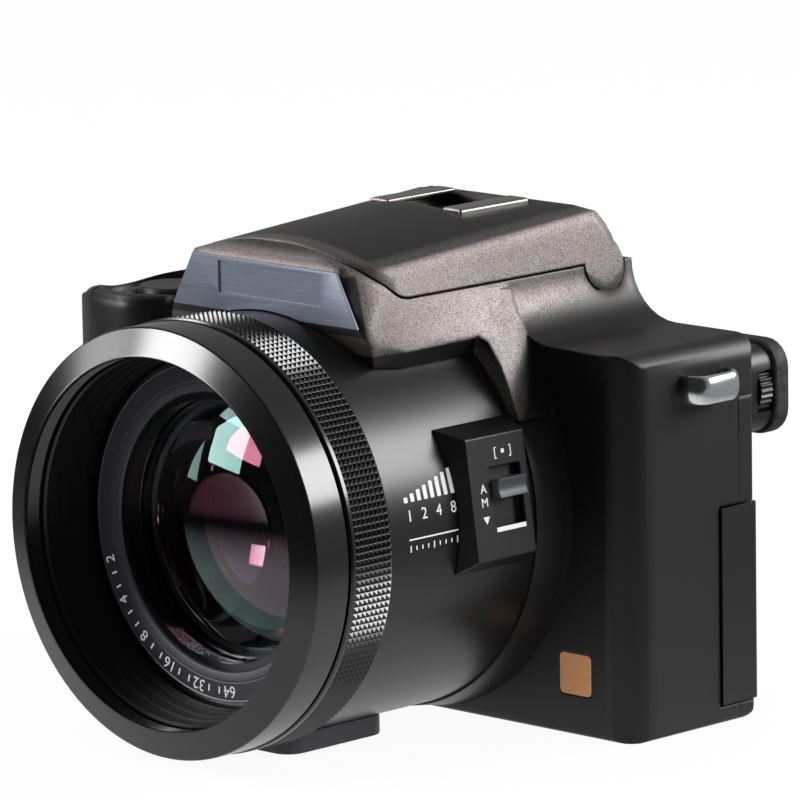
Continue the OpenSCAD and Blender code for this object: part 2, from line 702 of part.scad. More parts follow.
// Front case half with the shoulder, the tower and the saddle, and with the holes for the lens and the battery door
copper_w = 7;
copper_x = lens_x + 36.9;
copper_z = 10.5;
copper_t = 0.6;
module front_case() color("#303030") difference() {
    union() {
        intersection() {
            case_shell();
            before_parting();
        }
        bdoor_ears();
        tower_shell();
    }
    barrel_space(spigot_r + seat_gap, -eps, wall + eps);
    barrel_space(barrel_r + seat_gap, -tower_reach - 1, 0);
    barrel_space(collar_r + seat_gap, -collar_len - seat_gap, 0);
    skin_form(skin_t + seat_gap);
    tdoor_space();
    bdoor_space();
    z_rod(lens_x, bush_y, bush_r + seat_gap, -eps, wall + eps);
    for (p = screw_places) z_rod(p[0], p[1], screw_r + seat_gap, -eps, screw_h + 0.3);
    along_y(front_y - eps, front_y + copper_t) polygon(box_outline(
        copper_x - copper_w / 2 - seat_gap, copper_z - copper_w / 2 - seat_gap,
        copper_x + copper_w / 2 + seat_gap, copper_z + copper_w / 2 + seat_gap, 0.9));
}

// Control deck over the grip
module top_cover() color("#3a3a3a") difference() {
    union() {
        intersection() {
            cover_shell();
            deck_side();
        }
        intersection() {
            cover_body(0, split_z, seam_z);
            z_rod(shutter_at[0], shutter_at[1], dish_r + wall, dish_z - wall, deck_z);
        }
    }
    difference() {
        z_rod(shutter_at[0], shutter_at[1], dish_r, dish_z, deck_z + eps);
        z_rod(shutter_at[0], shutter_at[1], neck_r, dish_z - eps, dish_z + neck_h);
    }
    barrel_space(spigot_r + seat_gap, -eps, wall + eps);
    z_rod(shutter_at[0], shutter_at[1], shutter_r + run_gap, dish_z - wall - eps, dish_z + neck_h + eps);
    z_rod(dial_at[0], dial_at[1], dial_shaft_r + run_gap, deck_z - wall - eps, deck_z + eps);
    block(power_at[0] - power_slot[0] / 2, power_at[0] + power_slot[0] / 2, power_at[1] - power_slot[1] / 2,
        power_at[1] + power_slot[1] / 2, deck_z - wall - 3, deck_z + eps);
    y_rod(lamp_x, lamp_z, lamp_r + seat_gap, front_y - eps, front_y + wall + eps);
}

module grip_skin() color("#1d1d1d") skin_form(skin_t);
module badge_plate() color("#5c6070") difference() {
    at_lens() along_y(-tower_reach, plate_t - tower_reach) polygon([
        [-badge_low_half, badge_low_z], [badge_low_half, badge_low_z],
        [badge_top_half, badge_top_z], [-badge_top_half, badge_top_z]]);
    barrel_space(barrel_r + 3 * seat_gap, -tower_reach - 1, 0);
}
module copper_plate() color("#a8703f") along_y(front_y - 0.1, front_y + copper_t) polygon(box_outline(
    copper_x - copper_w / 2, copper_z - copper_w / 2, copper_x + copper_w / 2, copper_z + copper_w / 2, 0.9));

// Fixed lens pieces
module lens_barrel() color("#2b2b2b") lens_turn([
    [barrel_bore_r, ring_back], [sleeve_r, ring_back], [sleeve_r, barrel_front], [barrel_r - 0.2, barrel_front],
    [barrel_r, barrel_front - 0.2], [barrel_r, 0], [spigot_r, 0], [spigot_r, -wall - 0.5], [barrel_bore_r, -wall - 0.5]]);
module barrel_collar() color("#1f1f1f") difference() {
    lens_turn([
        [barrel_r + seat_gap, collar_len], [barrel_r + 0.4, collar_len], [collar_r - 0.3, 1.4], [collar_r, 0],
        [barrel_r + seat_gap, 0]]);
    at_panel() panel_form(seat_gap);
}
foot_h = lens_lift + 4;
module lens_foot() color("#1c1c1c") difference() {
    along_z(0, foot_h) at_lens() polygon(box_outline(
        -foot_w / 2, -barrel_front, foot_w / 2, foot_len - barrel_front, 3.5));
    barrel_space(barrel_r + seat_gap, -barrel_front - 1, 0);
}
module front_ring() color("#1a1a1c") lens_turn([
    [mouth_r, ring_back], [mouth_r, lens_reach], [mouth_r + 0.4, lens_reach],
    [ring_r - 0.2, lens_reach - ring_bevel], [ring_r, lens_reach - ring_bevel - 0.3], [ring_r, ring_back]]);
module zoom_guide() color("#232323") lens_turn([
    [guide_bore_r, guide_front], [guide_r, guide_front], [guide_r, -wall - 0.5], [spigot_r - 1, -wall - 0.5],
    [spigot_r - 1, -wall - 0.5 - guide_flange], [flange_hole_r, -wall - 0.5 - guide_flange],
    [flange_hole_r, -wall - 0.5], [guide_bore_r, -wall - 0.5]]);
module rear_lens() color("#9fb4c4") lens_turn([
    [0, -wall + 0.6], [flange_hole_r - seat_gap, -wall - 0.6], [flange_hole_r - seat_gap, -wall - 0.4 - guide_flange],
    [0, -wall - 0.4 - guide_flange]]);
sensor_front = -wall - 0.5 - guide_flange;
module sensor_mount() color("#3b3f45") difference() {
    union() {
        barrel_space(flange_hole_r + tube_wall, -sensor_front, sensor_len - sensor_front);
        at_lens() block(-sensor_w / 2, sensor_w / 2, sensor_len - sensor_front, sensor_len - sensor_front + tube_wall,
            lens_z - sensor_w / 2, lens_z + sensor_w / 2);
    }
    barrel_space(flange_hole_r, -sensor_front - eps, sensor_len - sensor_front);
}
module image_sensor() color("#51657a") at_lens()
    block(-4.5, 4.5, sensor_len - sensor_front - 1.8, sensor_len - sensor_front, lens_z - 3.5, lens_z + 3.5);

// Focus switch panel, in its own turned frame: X away from the lens axis, Z up the barrel's side
module at_panel() translate([lens_x, front_y, lens_z]) rotate([0, -panel_tilt, 0]) children();
panel_slope = 2.8;
panel_root = barrel_r - 4;
module panel_form(grow) {
    y0 = -panel_back - panel_len - grow;
    y1 = -panel_back + grow;
    low = panel_lift - panel_h / 2 - grow;
    high = panel_lift + panel_h / 2 + grow;
    face = panel_r + grow;
    intersection() {
        along_z(low - panel_slope, high + panel_slope) polygon([
            [panel_root, y0 - panel_slope], [face, y0], [face, y1], [panel_root, y1 + panel_slope]]);
        along_y(y0 - panel_slope, y1 + panel_slope) polygon([
            [panel_root, low - panel_slope], [face, low], [face, high], [panel_root, high + panel_slope]]);
    }
}
slot_y1 = -panel_back - 1.8;
slot_y0 = slot_y1 - slot_w;
slot_top = 6.1;
slot_depth = 1.5;
module focus_panel() color("#3a3a3d") difference() {
    at_panel() panel_form(0);
    barrel_space(barrel_r + seat_gap, -lens_reach, 0);
    at_panel() block(panel_r - slot_depth, panel_r + eps, slot_y0, slot_y1, slot_top - slot_h, slot_top);
}
knob_proud = 1.6;
knob_back = 1.9;
knob_top = slot_top - knob_back;
module focus_switch() color("#2c2c2e") at_panel() difference() {
    block(panel_r - slot_depth + slide_gap, panel_r + knob_proud, slot_y0 + slide_gap, slot_y1 - slide_gap,
        knob_top - knob_h, knob_top);
    translate([panel_r + knob_proud + 2.4, 0, knob_top - knob_h / 2]) rotate([90, 0, 0])
        cylinder(r = 2.8, h = 80, center = true);
}

// Pieces inside the body
board_t = 1.6;
panel_t = 3;
board_y = rear_y - wall - panel_t;
module main_board() color("#1f5a38")
    block(grip_x + 4, min(screen_x + screen_w + 2, jacks_x1 - jacks_len - 1), board_y - board_t, board_y, wall + 2, split_z - 4);
battery_gap = 0.4;
battery_h = 44;
module battery() color("#30343a")
    block(bdoor_x0 + 1.5, bdoor_x1 - 1.5, bdoor_y0 + 1, bdoor_y1 - 1, bdoor_low_z + bdoor_t + battery_gap,
        bdoor_low_z + bdoor_t + battery_gap + battery_h);
capacitor_r = 6.5;
module flash_capacitor() color("#20242a")
    y_rod(grip_x + capacitor_r + 2, wall + capacitor_r + seat_gap, capacitor_r, front_y + wall + 2.2, front_y + wall + 21);
module tripod_bush() color("#b9b9b4") difference() {
    union() {
        z_rod(lens_x, bush_y, bush_r, 0, bush_h);
        z_rod(lens_x, bush_y, bush_flange_r, wall, wall + 1.5);
    }
    z_rod(lens_x, bush_y, tripod_r, -eps, tripod_depth);
}
module base_screws() color("#8d8d8d") for (p = screw_places) difference() {
    z_rod(p[0], p[1], screw_r, 0.3, 0.3 + screw_h);
    block(p[0] - screw_r, p[0] + screw_r, p[1] - 0.3, p[1] + 0.3, 0, 0.8);
    block(p[0] - 0.3, p[0] + 0.3, p[1] - screw_r, p[1] + screw_r, 0, 0.8);
}
lug_fall = 9.3;
lug_right_z = shoulder_z - lug_fall;
lug_left_z = split_z - 5.5;
lug_y = front_y + 12;
lug_slot = [8, 2.2];
module strap_lug(side, z) difference() {
    along_z(z, z + lug_t) difference() {
        polygon(rounded([
            [side * half_w, lug_y, 0], [side * (half_w + lug_reach), lug_y, 3.4],
            [side * (half_w + lug_reach), lug_y + lug_len, 3.4], [side * half_w, lug_y + lug_len, 0]]));
        polygon(box_outline(
            side * (half_w + 1.5) - (side < 0 ? lug_slot[1] : 0), lug_y + (lug_len - lug_slot[0]) / 2,
            side * (half_w + 1.5) + (side < 0 ? 0 : lug_slot[1]), lug_y + (lug_len + lug_slot[0]) / 2, 0.9));
    }
}
module strap_lug_left() color("#c9c9cc") strap_lug(-1, lug_left_z);
module strap_lug_right() color("#c9c9cc") strap_lug(1, lug_right_z);

// Screen
module screen_window() color("#15161a") along_y(rear_y - wall, rear_y + screen_proud) screen_outline(0);
module screen_panel() color("#4a5560")
    block(screen_x - screen_edge, screen_x + screen_w + screen_edge, board_y, board_y + panel_t,
        screen_z - screen_edge, screen_z + screen_h + screen_edge);

// Finder
finder_x1 = half_w - finder_inset;
finder_x0 = finder_x1 - finder_w;
finder_r = 4;
eye_x0 = finder_x0 + 4.5;
eye_x1 = finder_x1 - 11.6;
eye_z0 = finder_z + 2.8;
eye_z1 = finder_z + finder_h - 2.8;
wheel_t = 3;
wheel_x = finder_x1 + 0.9 - wheel_r;
wheel_z = finder_z + finder_h / 2;
wheel_y1 = rear_y + finder_len - 0.5;
wheel_y0 = wheel_y1 - wheel_t;
wheel_shaft_r = 1;
wheel_shaft = 1.2;
module finder_housing() color("#262626") difference() {
    along_y(rear_y, rear_y + finder_len) polygon(box_outline(finder_x0, finder_z, finder_x1, finder_z + finder_h, finder_r));
    along_y(rear_y - eps, rear_y + finder_len + eps) polygon(box_outline(eye_x0, eye_z0, eye_x1, eye_z1, 1.5));
    y_rod(wheel_x, wheel_z, wheel_r + 2 * slide_gap, wheel_y0 - slide_gap, rear_y + finder_len + eps);
    y_rod(wheel_x, wheel_z, wheel_shaft_r + run_gap, wheel_y0 - wheel_shaft - 2 * slide_gap, wheel_y0);
}
module finder_lens() color("#a9bccb")
    along_y(rear_y + finder_len - 3.4, rear_y + finder_len - 0.9)
        polygon(box_outline(eye_x0 + seat_gap, eye_z0 + seat_gap, eye_x1 - seat_gap, eye_z1 - seat_gap, 1.4));
module finder_display() color("#30383f")
    along_y(rear_y + 0.6, rear_y + 2.6)
        polygon(box_outline(eye_x0 + seat_gap, eye_z0 + seat_gap, eye_x1 - seat_gap, eye_z1 - seat_gap, 1.4));
module eyecup() color("#1b1b1b") along_y(rear_y + finder_len, rear_y + eyecup_reach) difference() {
    polygon(box_outline(finder_x0 - 0.8, finder_z - 0.6, finder_x1 + 0.8, finder_z + finder_h + 0.6, finder_r + 0.7));
    polygon(box_outline(eye_x0 - 0.8, eye_z0 - 0.8, eye_x1 + 0.8, eye_z1 + 0.8, 2));
}
module dioptre_wheel() color("#2a2a2a") {
    translate([wheel_x, wheel_y1, wheel_z]) rotate([90, 0, 0]) linear_extrude(wheel_t) polygon(serrated(wheel_r, 0.4, 30));
    y_rod(wheel_x, wheel_z, wheel_shaft_r, wheel_y0 - wheel_shaft, wheel_y0 + eps);
}
jack_r = 2.4;
jacks_x1 = half_w - tdoor_t - door_gap;
jacks_len = 10;
module terminal_jacks() color("#17181a") difference() {
    intersection() {
        block(jacks_x1 - jacks_len, jacks_x1, tdoor_front_y, rear_y, tdoor_z + 1, tdoor_z + tdoor_h - 1);
        along_z(0, split_z) polygon(main_plan(wall + seat_gap));
    }
    for (z = [tdoor_z + 7, tdoor_z + 26]) x_rod(tdoor_front_y + 3.2, z, jack_r, jacks_x1 - 7, jacks_x1 + eps);
    block(jacks_x1 - 6, jacks_x1 + eps, tdoor_front_y + 1.4, tdoor_front_y + 5, tdoor_z + 13, tdoor_z + 21);
}
module assist_lamp() color("#8a3b2c") y_rod(lamp_x, lamp_z, lamp_r, front_y, front_y + wall);

// Hinge pins
module lid_pin() color("#b5b5b5") at_lens() x_rod(hinge_d, seam_z, pin_r, -pin_half, pin_half);
module terminal_pin() color("#b5b5b5")
    z_rod(tdoor_axis[0], tdoor_axis[1], tdoor_pin_r, tdoor_z - 1.8, tdoor_z + tdoor_h + 1.8);
module battery_pin() color("#b5b5b5")
    y_rod(bdoor_axis_x, bdoor_axis_z, bdoor_pin_r, bdoor_y0 - bdoor_ear + 0.3, bdoor_y1 + bdoor_ear - 0.3);

// Focus ring: smooth lips with knurl rows between them
knurl_pitch = (focus_len - knurl_front_lip - knurl_back_lip) / knurl_rows;
module focus_ring() color("#303033") lens_turn(concat(
    [[sleeve_r + run_gap, focus_back], [sleeve_r + run_gap, focus_front], [focus_r - 0.3, focus_front],
     [focus_r - 0.1, focus_front - 0.3]],
    [for (k = [0 : knurl_rows - 1]) each [
        [focus_r - knurl_d, focus_front - knurl_front_lip - k * knurl_pitch],
        [focus_r, focus_front - knurl_front_lip - (k + 0.5) * knurl_pitch]]],
    [[focus_r - knurl_d, focus_back + knurl_back_lip], [focus_r - knurl_d, focus_back]]));

// Sliding front group of the lens
module zoom_barrel() color("#202022") lens_turn([
    [glass_r + seat_gap, zoom_front], [zoom_r, zoom_front], [zoom_r, zoom_back], [zoom_r - zoom_wall, zoom_back],
    [zoom_r - zoom_wall, zoom_front - glass_t - 1], [glass_r - 1, zoom_front - glass_t - 1],
    [glass_r - 1, zoom_front - glass_t], [glass_r + seat_gap, zoom_front - glass_t]]);
module name_ring() color("#2a2a2c") lens_turn([
    [name_ring_in, zoom_front], [name_ring_in + 0.3, zoom_front + name_ring_t], [name_ring_out, zoom_front + name_ring_t],
    [name_ring_out, zoom_front]]);
glass_half = asin(glass_r / glass_curve);
module front_glass() color("#7d8fa0") lens_turn(concat(
    [[0, zoom_front - glass_t], [glass_r, zoom_front - glass_t]],
    arc(0, zoom_front - glass_t + 2 - glass_curve * cos(glass_half), glass_curve, 90 - glass_half, 90, 10)));
module zoom_group() color("#6d7f90") lens_turn(concat(
    [[0, group_back], [zoom_r, group_back], [zoom_r, group_back + group_t], [glass_r, group_back + group_t]],
    [[glass_r - 2, group_back + group_t - 1.5], [0, group_back + group_t - 0.4]]));

// Flash lid with its knuckles, and the pieces that ride on it
lid_pocket_t = 1.6;
module lid_shell() difference() {
    tower_form(0);
    tower_form(lid_wall);
}
module flash_lid() color("#454545") at_lens() difference() {
    union() {
        intersection() {
            union() {
                lid_shell();
                intersection() {
                    tower_form(lid_wall / 2);
                    block(-shoe_w / 2 - 1.5, shoe_w / 2 + 1.5, shoe_d - 1.5, shoe_d + shoe_len + 1.5,
                        shoe_seat_z - lid_pocket_t, roof_z);
                }
            }
            lid_zone(lid_gap);
        }
        intersection() {
            lid_shell();
            knuckles(knuckle_r);
        }
    }
    block(-shoe_w / 2 - shoe_gap, shoe_w / 2 + shoe_gap, shoe_d - shoe_gap, shoe_d + shoe_len + shoe_gap, shoe_seat_z, top_z);
    hinge_bore(pin_r + run_gap);
}
module hot_shoe() color("#b8b4ae") at_lens() {
    along_y(shoe_d, shoe_d + shoe_len) difference() {
        polygon(rounded([
            [-shoe_w / 2, shoe_seat_z, 0], [shoe_w / 2, shoe_seat_z, 0],
            [shoe_w / 2, shoe_seat_z + shoe_h, 0.6], [-shoe_w / 2, shoe_seat_z + shoe_h, 0.6]], 3));
        translate([shoe_t - shoe_w / 2, shoe_seat_z + shoe_t]) square([shoe_w - 2 * shoe_t, shoe_h - 2 * shoe_t]);
        translate([-shoe_mouth / 2, shoe_seat_z + shoe_t]) square([shoe_mouth, shoe_h]);
    }
}
head_half = 14;
head_low_z = seam_z - 0.4;
head_high_z = seam_z + 4.2;
head_front = lid_front - 1.6;
head_len = 11;
window_t = 0.8;
module flash_head() color("#c7c8ca") at_lens()
    block(-head_half, head_half, -head_front + window_t, -head_front + head_len, head_low_z, head_high_z);
module flash_window() color("#dfe3e6") at_lens()
    block(-head_half, head_half, -head_front, -head_front + window_t, head_low_z, head_high_z);

// Controls on the deck
shutter_h = 4.6;
module shutter_button() color("#9c9c9c") {
    translate([shutter_at[0], shutter_at[1], 0]) rotate_extrude() polygon([
        [0, dish_z - wall - 1], [shutter_r + 0.8, dish_z - wall - 1], [shutter_r + 0.8, dish_z - wall - flange_gap],
        [shutter_r, dish_z - wall - flange_gap], [shutter_r, dish_z + shutter_h - 0.4],
        [shutter_r - 0.6, dish_z + shutter_h], [0, dish_z + shutter_h - 0.5]]);
}
module zoom_lever() color("#2d2d2d") difference() {
    union() {
        z_rod(shutter_at[0], shutter_at[1], lever_r, dish_z + lever_gap, dish_z + lever_gap + lever_h);
        along_z(dish_z + lever_gap, dish_z + lever_gap + lever_h) translate(shutter_at)
            polygon(rounded([[-2.6, -1, 0], [2.6, -1, 0], [1.8, -lever_r - lever_tab, 1.2], [-1.8, -lever_r - lever_tab, 1.2]]));
    }
    z_rod(shutter_at[0], shutter_at[1], neck_r + run_gap, dish_z, dish_z + lever_gap + lever_h + eps);
}
module mode_dial() color("#323234") translate([dial_at[0], dial_at[1], deck_z]) {
    translate([0, 0, lever_gap]) linear_extrude(dial_h - 0.8) polygon(serrated(dial_r, 0.45, 44));
    translate([0, 0, lever_gap]) cylinder(r = dial_r - 0.9, h = dial_h);
    translate([0, 0, -wall - 1]) cylinder(r = dial_shaft_r, h = wall + 1.6);
}
module power_switch() color("#4a4a4a") {
    block(power_at[0] - power_travel / 2 - 2.2, power_at[0] - power_travel / 2 + 2.2, power_at[1] - power_slot[1] / 2 + slide_gap,
        power_at[1] + power_slot[1] / 2 - slide_gap, deck_z - wall, deck_z + 0.6);
    block(power_at[0] - power_travel / 2 - 3, power_at[0] - power_travel / 2 + 3, power_at[1] - 3, power_at[1] + 3, deck_z + 0.3, deck_z + 2);
}

// Doors
module terminal_door() color("#2a2a2a") difference() {
    union() {
        along_z(tdoor_z, tdoor_z + tdoor_h) polygon(tdoor_plan(0, tdoor_proud));
        z_rod(tdoor_axis[0], tdoor_axis[1], door_knuckle_r, tdoor_z, tdoor_z + tdoor_h);
    }
    z_rod(tdoor_axis[0], tdoor_axis[1], tdoor_pin_r + run_gap, tdoor_z - eps, tdoor_z + tdoor_h + eps);
}
module battery_door() color("#2a2a2a") difference() {
    union() {
        block(bdoor_x0, bdoor_axis_x, bdoor_y0, bdoor_y1, bdoor_low_z, bdoor_low_z + bdoor_t);
        y_rod(bdoor_axis_x, bdoor_axis_z, door_knuckle_r, bdoor_y0, bdoor_y1);
    }
    y_rod(bdoor_axis_x, bdoor_axis_z, bdoor_pin_r + run_gap, bdoor_y0 - eps, bdoor_y1 + eps);
    for (k = [0 : 4]) block(bdoor_x0 + 2 + 1.2 * k, bdoor_x0 + 2.5 + 1.2 * k, bdoor_y0 + 7, bdoor_y1 - 7, 0, bdoor_low_z + 0.4);
}

// Round push button through the back wall, held by its inner flange
module back_button(place) translate([place[0], rear_y, place[1]]) rotate([-90, 0, 0]) rotate_extrude() polygon([
    [0, -wall - flange_gap - button_flange_t], [button_flange_r, -wall - flange_gap - button_flange_t],
    [button_flange_r, -wall - flange_gap], [button_r, -wall - flange_gap], [button_r, button_h - 0.4],
    [button_r - 0.4, button_h], [0, button_h + 0.15]]);
module arrow_up() color("#47484b") back_button(arrow_places[0]);
module arrow_down() color("#47484b") back_button(arrow_places[1]);
module arrow_left() color("#47484b") back_button(arrow_places[2]);
module arrow_right() color("#47484b") back_button(arrow_places[3]);
module menu_button() color("#47484b") back_button(menu_place);
module delete_button() color("#47484b") back_button(delete_place);
module display_button() color("#47484b") back_button(display_place);
module lock_button() color("#47484b") back_button(lock_place);
module finder_button() color("#47484b") back_button(finder_place);

front_case();
rear_case();
top_cover();
grip_skin();
badge_plate();
copper_plate();
lens_barrel();
barrel_collar();
lens_foot();
front_ring();
focus_panel();
zoom_guide();
rear_lens();
sensor_mount();
image_sensor();
main_board();
battery();
flash_capacitor();
tripod_bush();
base_screws();
strap_lug_left();
strap_lug_right();
screen_window();
screen_panel();
finder_housing();
finder_lens();
finder_display();
eyecup();
terminal_jacks();
assist_lamp();
lid_pin();
terminal_pin();
battery_pin();
focus_ring();
zoom_barrel();
name_ring();
front_glass();
zoom_group();
focus_switch();
flash_lid();
hot_shoe();
flash_head();
flash_window();
shutter_button();
zoom_lever();
mode_dial();
power_switch();
dioptre_wheel();
terminal_door();
battery_door();
arrow_up();
arrow_down();
arrow_left();
arrow_right();
menu_button();
delete_button();
display_button();
lock_button();
finder_button();
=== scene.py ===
# Bridge camera: its looks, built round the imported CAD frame.
# Lengths are written in millimetres in the part's own frame, and MM turns them to Blender's metres.
import json
import math

import bpy
from mathutils import Matrix, Vector


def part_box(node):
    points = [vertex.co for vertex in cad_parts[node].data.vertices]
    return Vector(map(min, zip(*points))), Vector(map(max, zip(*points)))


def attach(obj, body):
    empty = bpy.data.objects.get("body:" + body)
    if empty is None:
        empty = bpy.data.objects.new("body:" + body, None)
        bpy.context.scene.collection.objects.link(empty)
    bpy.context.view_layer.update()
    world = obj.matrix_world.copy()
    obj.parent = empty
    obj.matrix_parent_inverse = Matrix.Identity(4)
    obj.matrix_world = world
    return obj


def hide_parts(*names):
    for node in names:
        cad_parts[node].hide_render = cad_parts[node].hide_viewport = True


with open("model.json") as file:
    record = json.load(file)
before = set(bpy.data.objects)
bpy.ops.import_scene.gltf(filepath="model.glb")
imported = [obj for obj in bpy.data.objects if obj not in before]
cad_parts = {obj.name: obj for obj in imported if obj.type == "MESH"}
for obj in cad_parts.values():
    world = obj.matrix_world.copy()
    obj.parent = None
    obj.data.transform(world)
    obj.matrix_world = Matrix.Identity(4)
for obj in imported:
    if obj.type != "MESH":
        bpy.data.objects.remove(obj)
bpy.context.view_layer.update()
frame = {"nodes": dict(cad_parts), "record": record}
nodes = frame["nodes"]
record = frame["record"]
body_of_node = {node: body for body, group in record["behaviour"]["bodies"].items() for node in group}
node_slot = {entry["node"]: entry["material_slot"] for entry in record["subparts"]}

# Shared sizes: the lens axis, the body's front wall and the steps of a full turn
MM = 0.001
LENS_X = 14.15
LENS_Z = 37.0
FRONT_Y = 7.375
LENS_AXIS = Vector((LENS_X, 0.0, LENS_Z)) * MM
FULL_TURN = 2 * math.pi
QUARTER_TURN = math.pi / 2
ROUND_STEPS = 192
WHITE = (1.0, 1.0, 1.0, 1.0)


def colour(hex_code):
    """An sRGB hex value as Blender's linear colour."""
    parts = [int(hex_code[place:place + 2], 16) / 255 for place in (1, 3, 5)]
    return [part / 12.92 if part <= 0.04045 else ((part + 0.055) / 1.055) ** 2.4 for part in parts] + [1.0]


def add(tree, kind, sockets=None, **settings):
    """Adds a node with its settings, and fills or links its sockets."""
    made = tree.nodes.new(kind)
    for name, value in settings.items():
        setattr(made, name, value)
    for name, value in (sockets or {}).items():
        if isinstance(value, bpy.types.NodeSocket):
            tree.links.new(value, made.inputs[name])
        else:
            made.inputs[name].default_value = value
    return made


# Noise levels where a finish's light colour starts and is full, and the noise's octaves
TINT_ENDS = (0.3, 0.7)
NOISE_DETAIL = 3.0
# Height at the end of the scale for soft edges, and the rays that feel for an edge
SOFT_TOP = 100.0
SOFT_RAYS = 6


def finish(name, dark, light, rough, grain, depth, cells=False, along=(1, 1, 1), speck=None, coat=None,
           soft=None, **shader):
    """A procedural finish on object coordinates. The pattern runs between the dark and light sRGB colours
    and between the two roughness values. Grain is its size and depth its relief in mm, along squeezes it on
    an axis, and cells asks for pebbles in place of soft noise. Speck is the share of the surface that shows
    light flakes, and coat makes their mask from the object's coordinates: the flakes show only where that
    mask is full, which on the tower is where the lamps' sheen falls, a painted sheen. Soft lists (height,
    radius) pairs in mm: how far the paint runs round the edges at each height."""
    made = bpy.data.materials.new(name)
    made.use_nodes = True
    tree = made.node_tree
    shade = tree.nodes["Principled BSDF"]
    place = add(tree, "ShaderNodeTexCoord").outputs["Object"]
    place = add(tree, "ShaderNodeMapping", {"Vector": place, "Scale": along}).outputs["Vector"]
    grid = {"Vector": place, "Scale": 1 / (grain * MM)}
    if cells:
        pattern = add(tree, "ShaderNodeTexVoronoi", grid).outputs["Distance"]
    else:
        pattern = add(tree, "ShaderNodeTexNoise", grid | {"Detail": NOISE_DETAIL}).outputs["Fac"]
    tint = pattern
    ends = TINT_ENDS
    if speck:
        ends = (1 - speck, 1 - speck / 2)
        flakes = add(tree, "ShaderNodeTexVoronoi", grid)
        tint = add(tree, "ShaderNodeSeparateColor", {"Color": flakes.outputs["Color"]}).outputs["Red"]
        # The flakes' mask: on the tower a painted sheen, with flakes only where the lamps' light falls.
        tint = add(tree, "ShaderNodeMath", {0: tint, 1: coat(tree, place)}, operation="MULTIPLY").outputs[0]
        metal = add(tree, "ShaderNodeMapRange", {"Value": tint, "From Min": ends[0], "From Max": ends[1]})
        tree.links.new(metal.outputs["Result"], shade.inputs["Metallic"])
    ramp = add(tree, "ShaderNodeValToRGB", {"Fac": tint})
    for end, position, shown in zip(ramp.color_ramp.elements, ends, (dark, light)):
        end.position = position
        end.color = colour(shown)
    gloss = add(tree, "ShaderNodeMapRange", {"Value": tint, "To Min": rough[0], "To Max": rough[1]})
    relief = add(tree, "ShaderNodeBump", {"Height": pattern, "Distance": depth * MM, "Strength": 1.0})
    if soft:
        height = add(tree, "ShaderNodeSeparateXYZ", {0: place}).outputs["Z"]
        level = add(tree, "ShaderNodeMath", {0: height, 1: 1 / (SOFT_TOP * MM)}, operation="MULTIPLY")
        reach = add(tree, "ShaderNodeValToRGB", {"Fac": level.outputs[0]})
        steps = reach.color_ramp.elements
        while len(steps) < len(soft):
            steps.new(1.0)
        for step, (at, radius) in zip(steps, soft):
            step.position = at / SOFT_TOP
            step.color = [radius * MM] * 3 + [1.0]
        rounding = add(tree, "ShaderNodeBevel", {"Radius": reach.outputs["Color"]}, samples=SOFT_RAYS)
        tree.links.new(rounding.outputs["Normal"], relief.inputs["Normal"])
    tree.links.new(ramp.outputs["Color"], shade.inputs["Base Color"])
    tree.links.new(gloss.outputs["Result"], shade.inputs["Roughness"])
    tree.links.new(relief.outputs["Normal"], shade.inputs["Normal"])
    for socket, value in shader.items():
        shade.inputs[socket.replace("_", " ")].default_value = value
    return made


# Where the tower's lacquer shows its flakes: only in the zones where the lamps' sheen falls, so the flakes
# there are a painted sheen, and where they stop the black is painted shade. A zone is where all of its bands
# are full. A band is a way to measure from the lens axis and the body's front wall, and the places in mm
# where the flakes start and where they are full.
ACROSS = (1, 0, 0)
BACKWARD = (0, 1, 0)
UPWARD = (0, 0, 1)
FLANK_SLANT = (0.755, 0.656, 0)
HOOD_LEAN = (0, 1, -0.19)
# On the hood, the band along HOOD_LEAN stops the flakes short of the front edge and leaves a dark strip
# there: painted shade.
HOOD_SHEEN = ((UPWARD, 66.7, 67.2), (BACKWARD, -3, -6), (HOOD_LEAN, -46.9, -46.5))
ROOF_EDGE_SHEEN = ((UPWARD, 79.4, 80),)
FLANK_SHEEN = ((FLANK_SLANT, 21.2, 18.2), (UPWARD, 50, 57), (BACKWARD, -9.1, -8.2))
# Behind the hood the flakes are thinner, a dimmer painted sheen, and they fade out down the cove, more slowly
# further back: painted shade that deepens down the cove
BEHIND_SHEEN_SHARE = 0.8
COVE_SHEEN = ((BACKWARD, -6, -3),)
COVE_LOW = 66.0
COVE_TOP = 69.2
COVE_FADE = 0.25
# The middle of the roof is nearly bare of flakes: painted shade on the roof
ROOF_SHADE_SHARE = 0.9
ROOF_SHADE = ((UPWARD, 78, 79), (ACROSS, 20.5, 16.5), (BACKWARD, -30, -27))


def zone(tree, folded, bands, mask=1.0):
    """The mask where all bands are full, times the mask that is given."""
    for way, start, full in bands:
        along = add(tree, "ShaderNodeVectorMath", {0: folded, 1: way}, operation="DOT_PRODUCT")
        limits = {"Value": along.outputs["Value"], "From Min": start * MM, "From Max": full * MM}
        band = add(tree, "ShaderNodeMapRange", limits).outputs["Result"]
        mask = add(tree, "ShaderNodeMath", {0: mask, 1: band}, operation="MULTIPLY").outputs[0]
    return mask


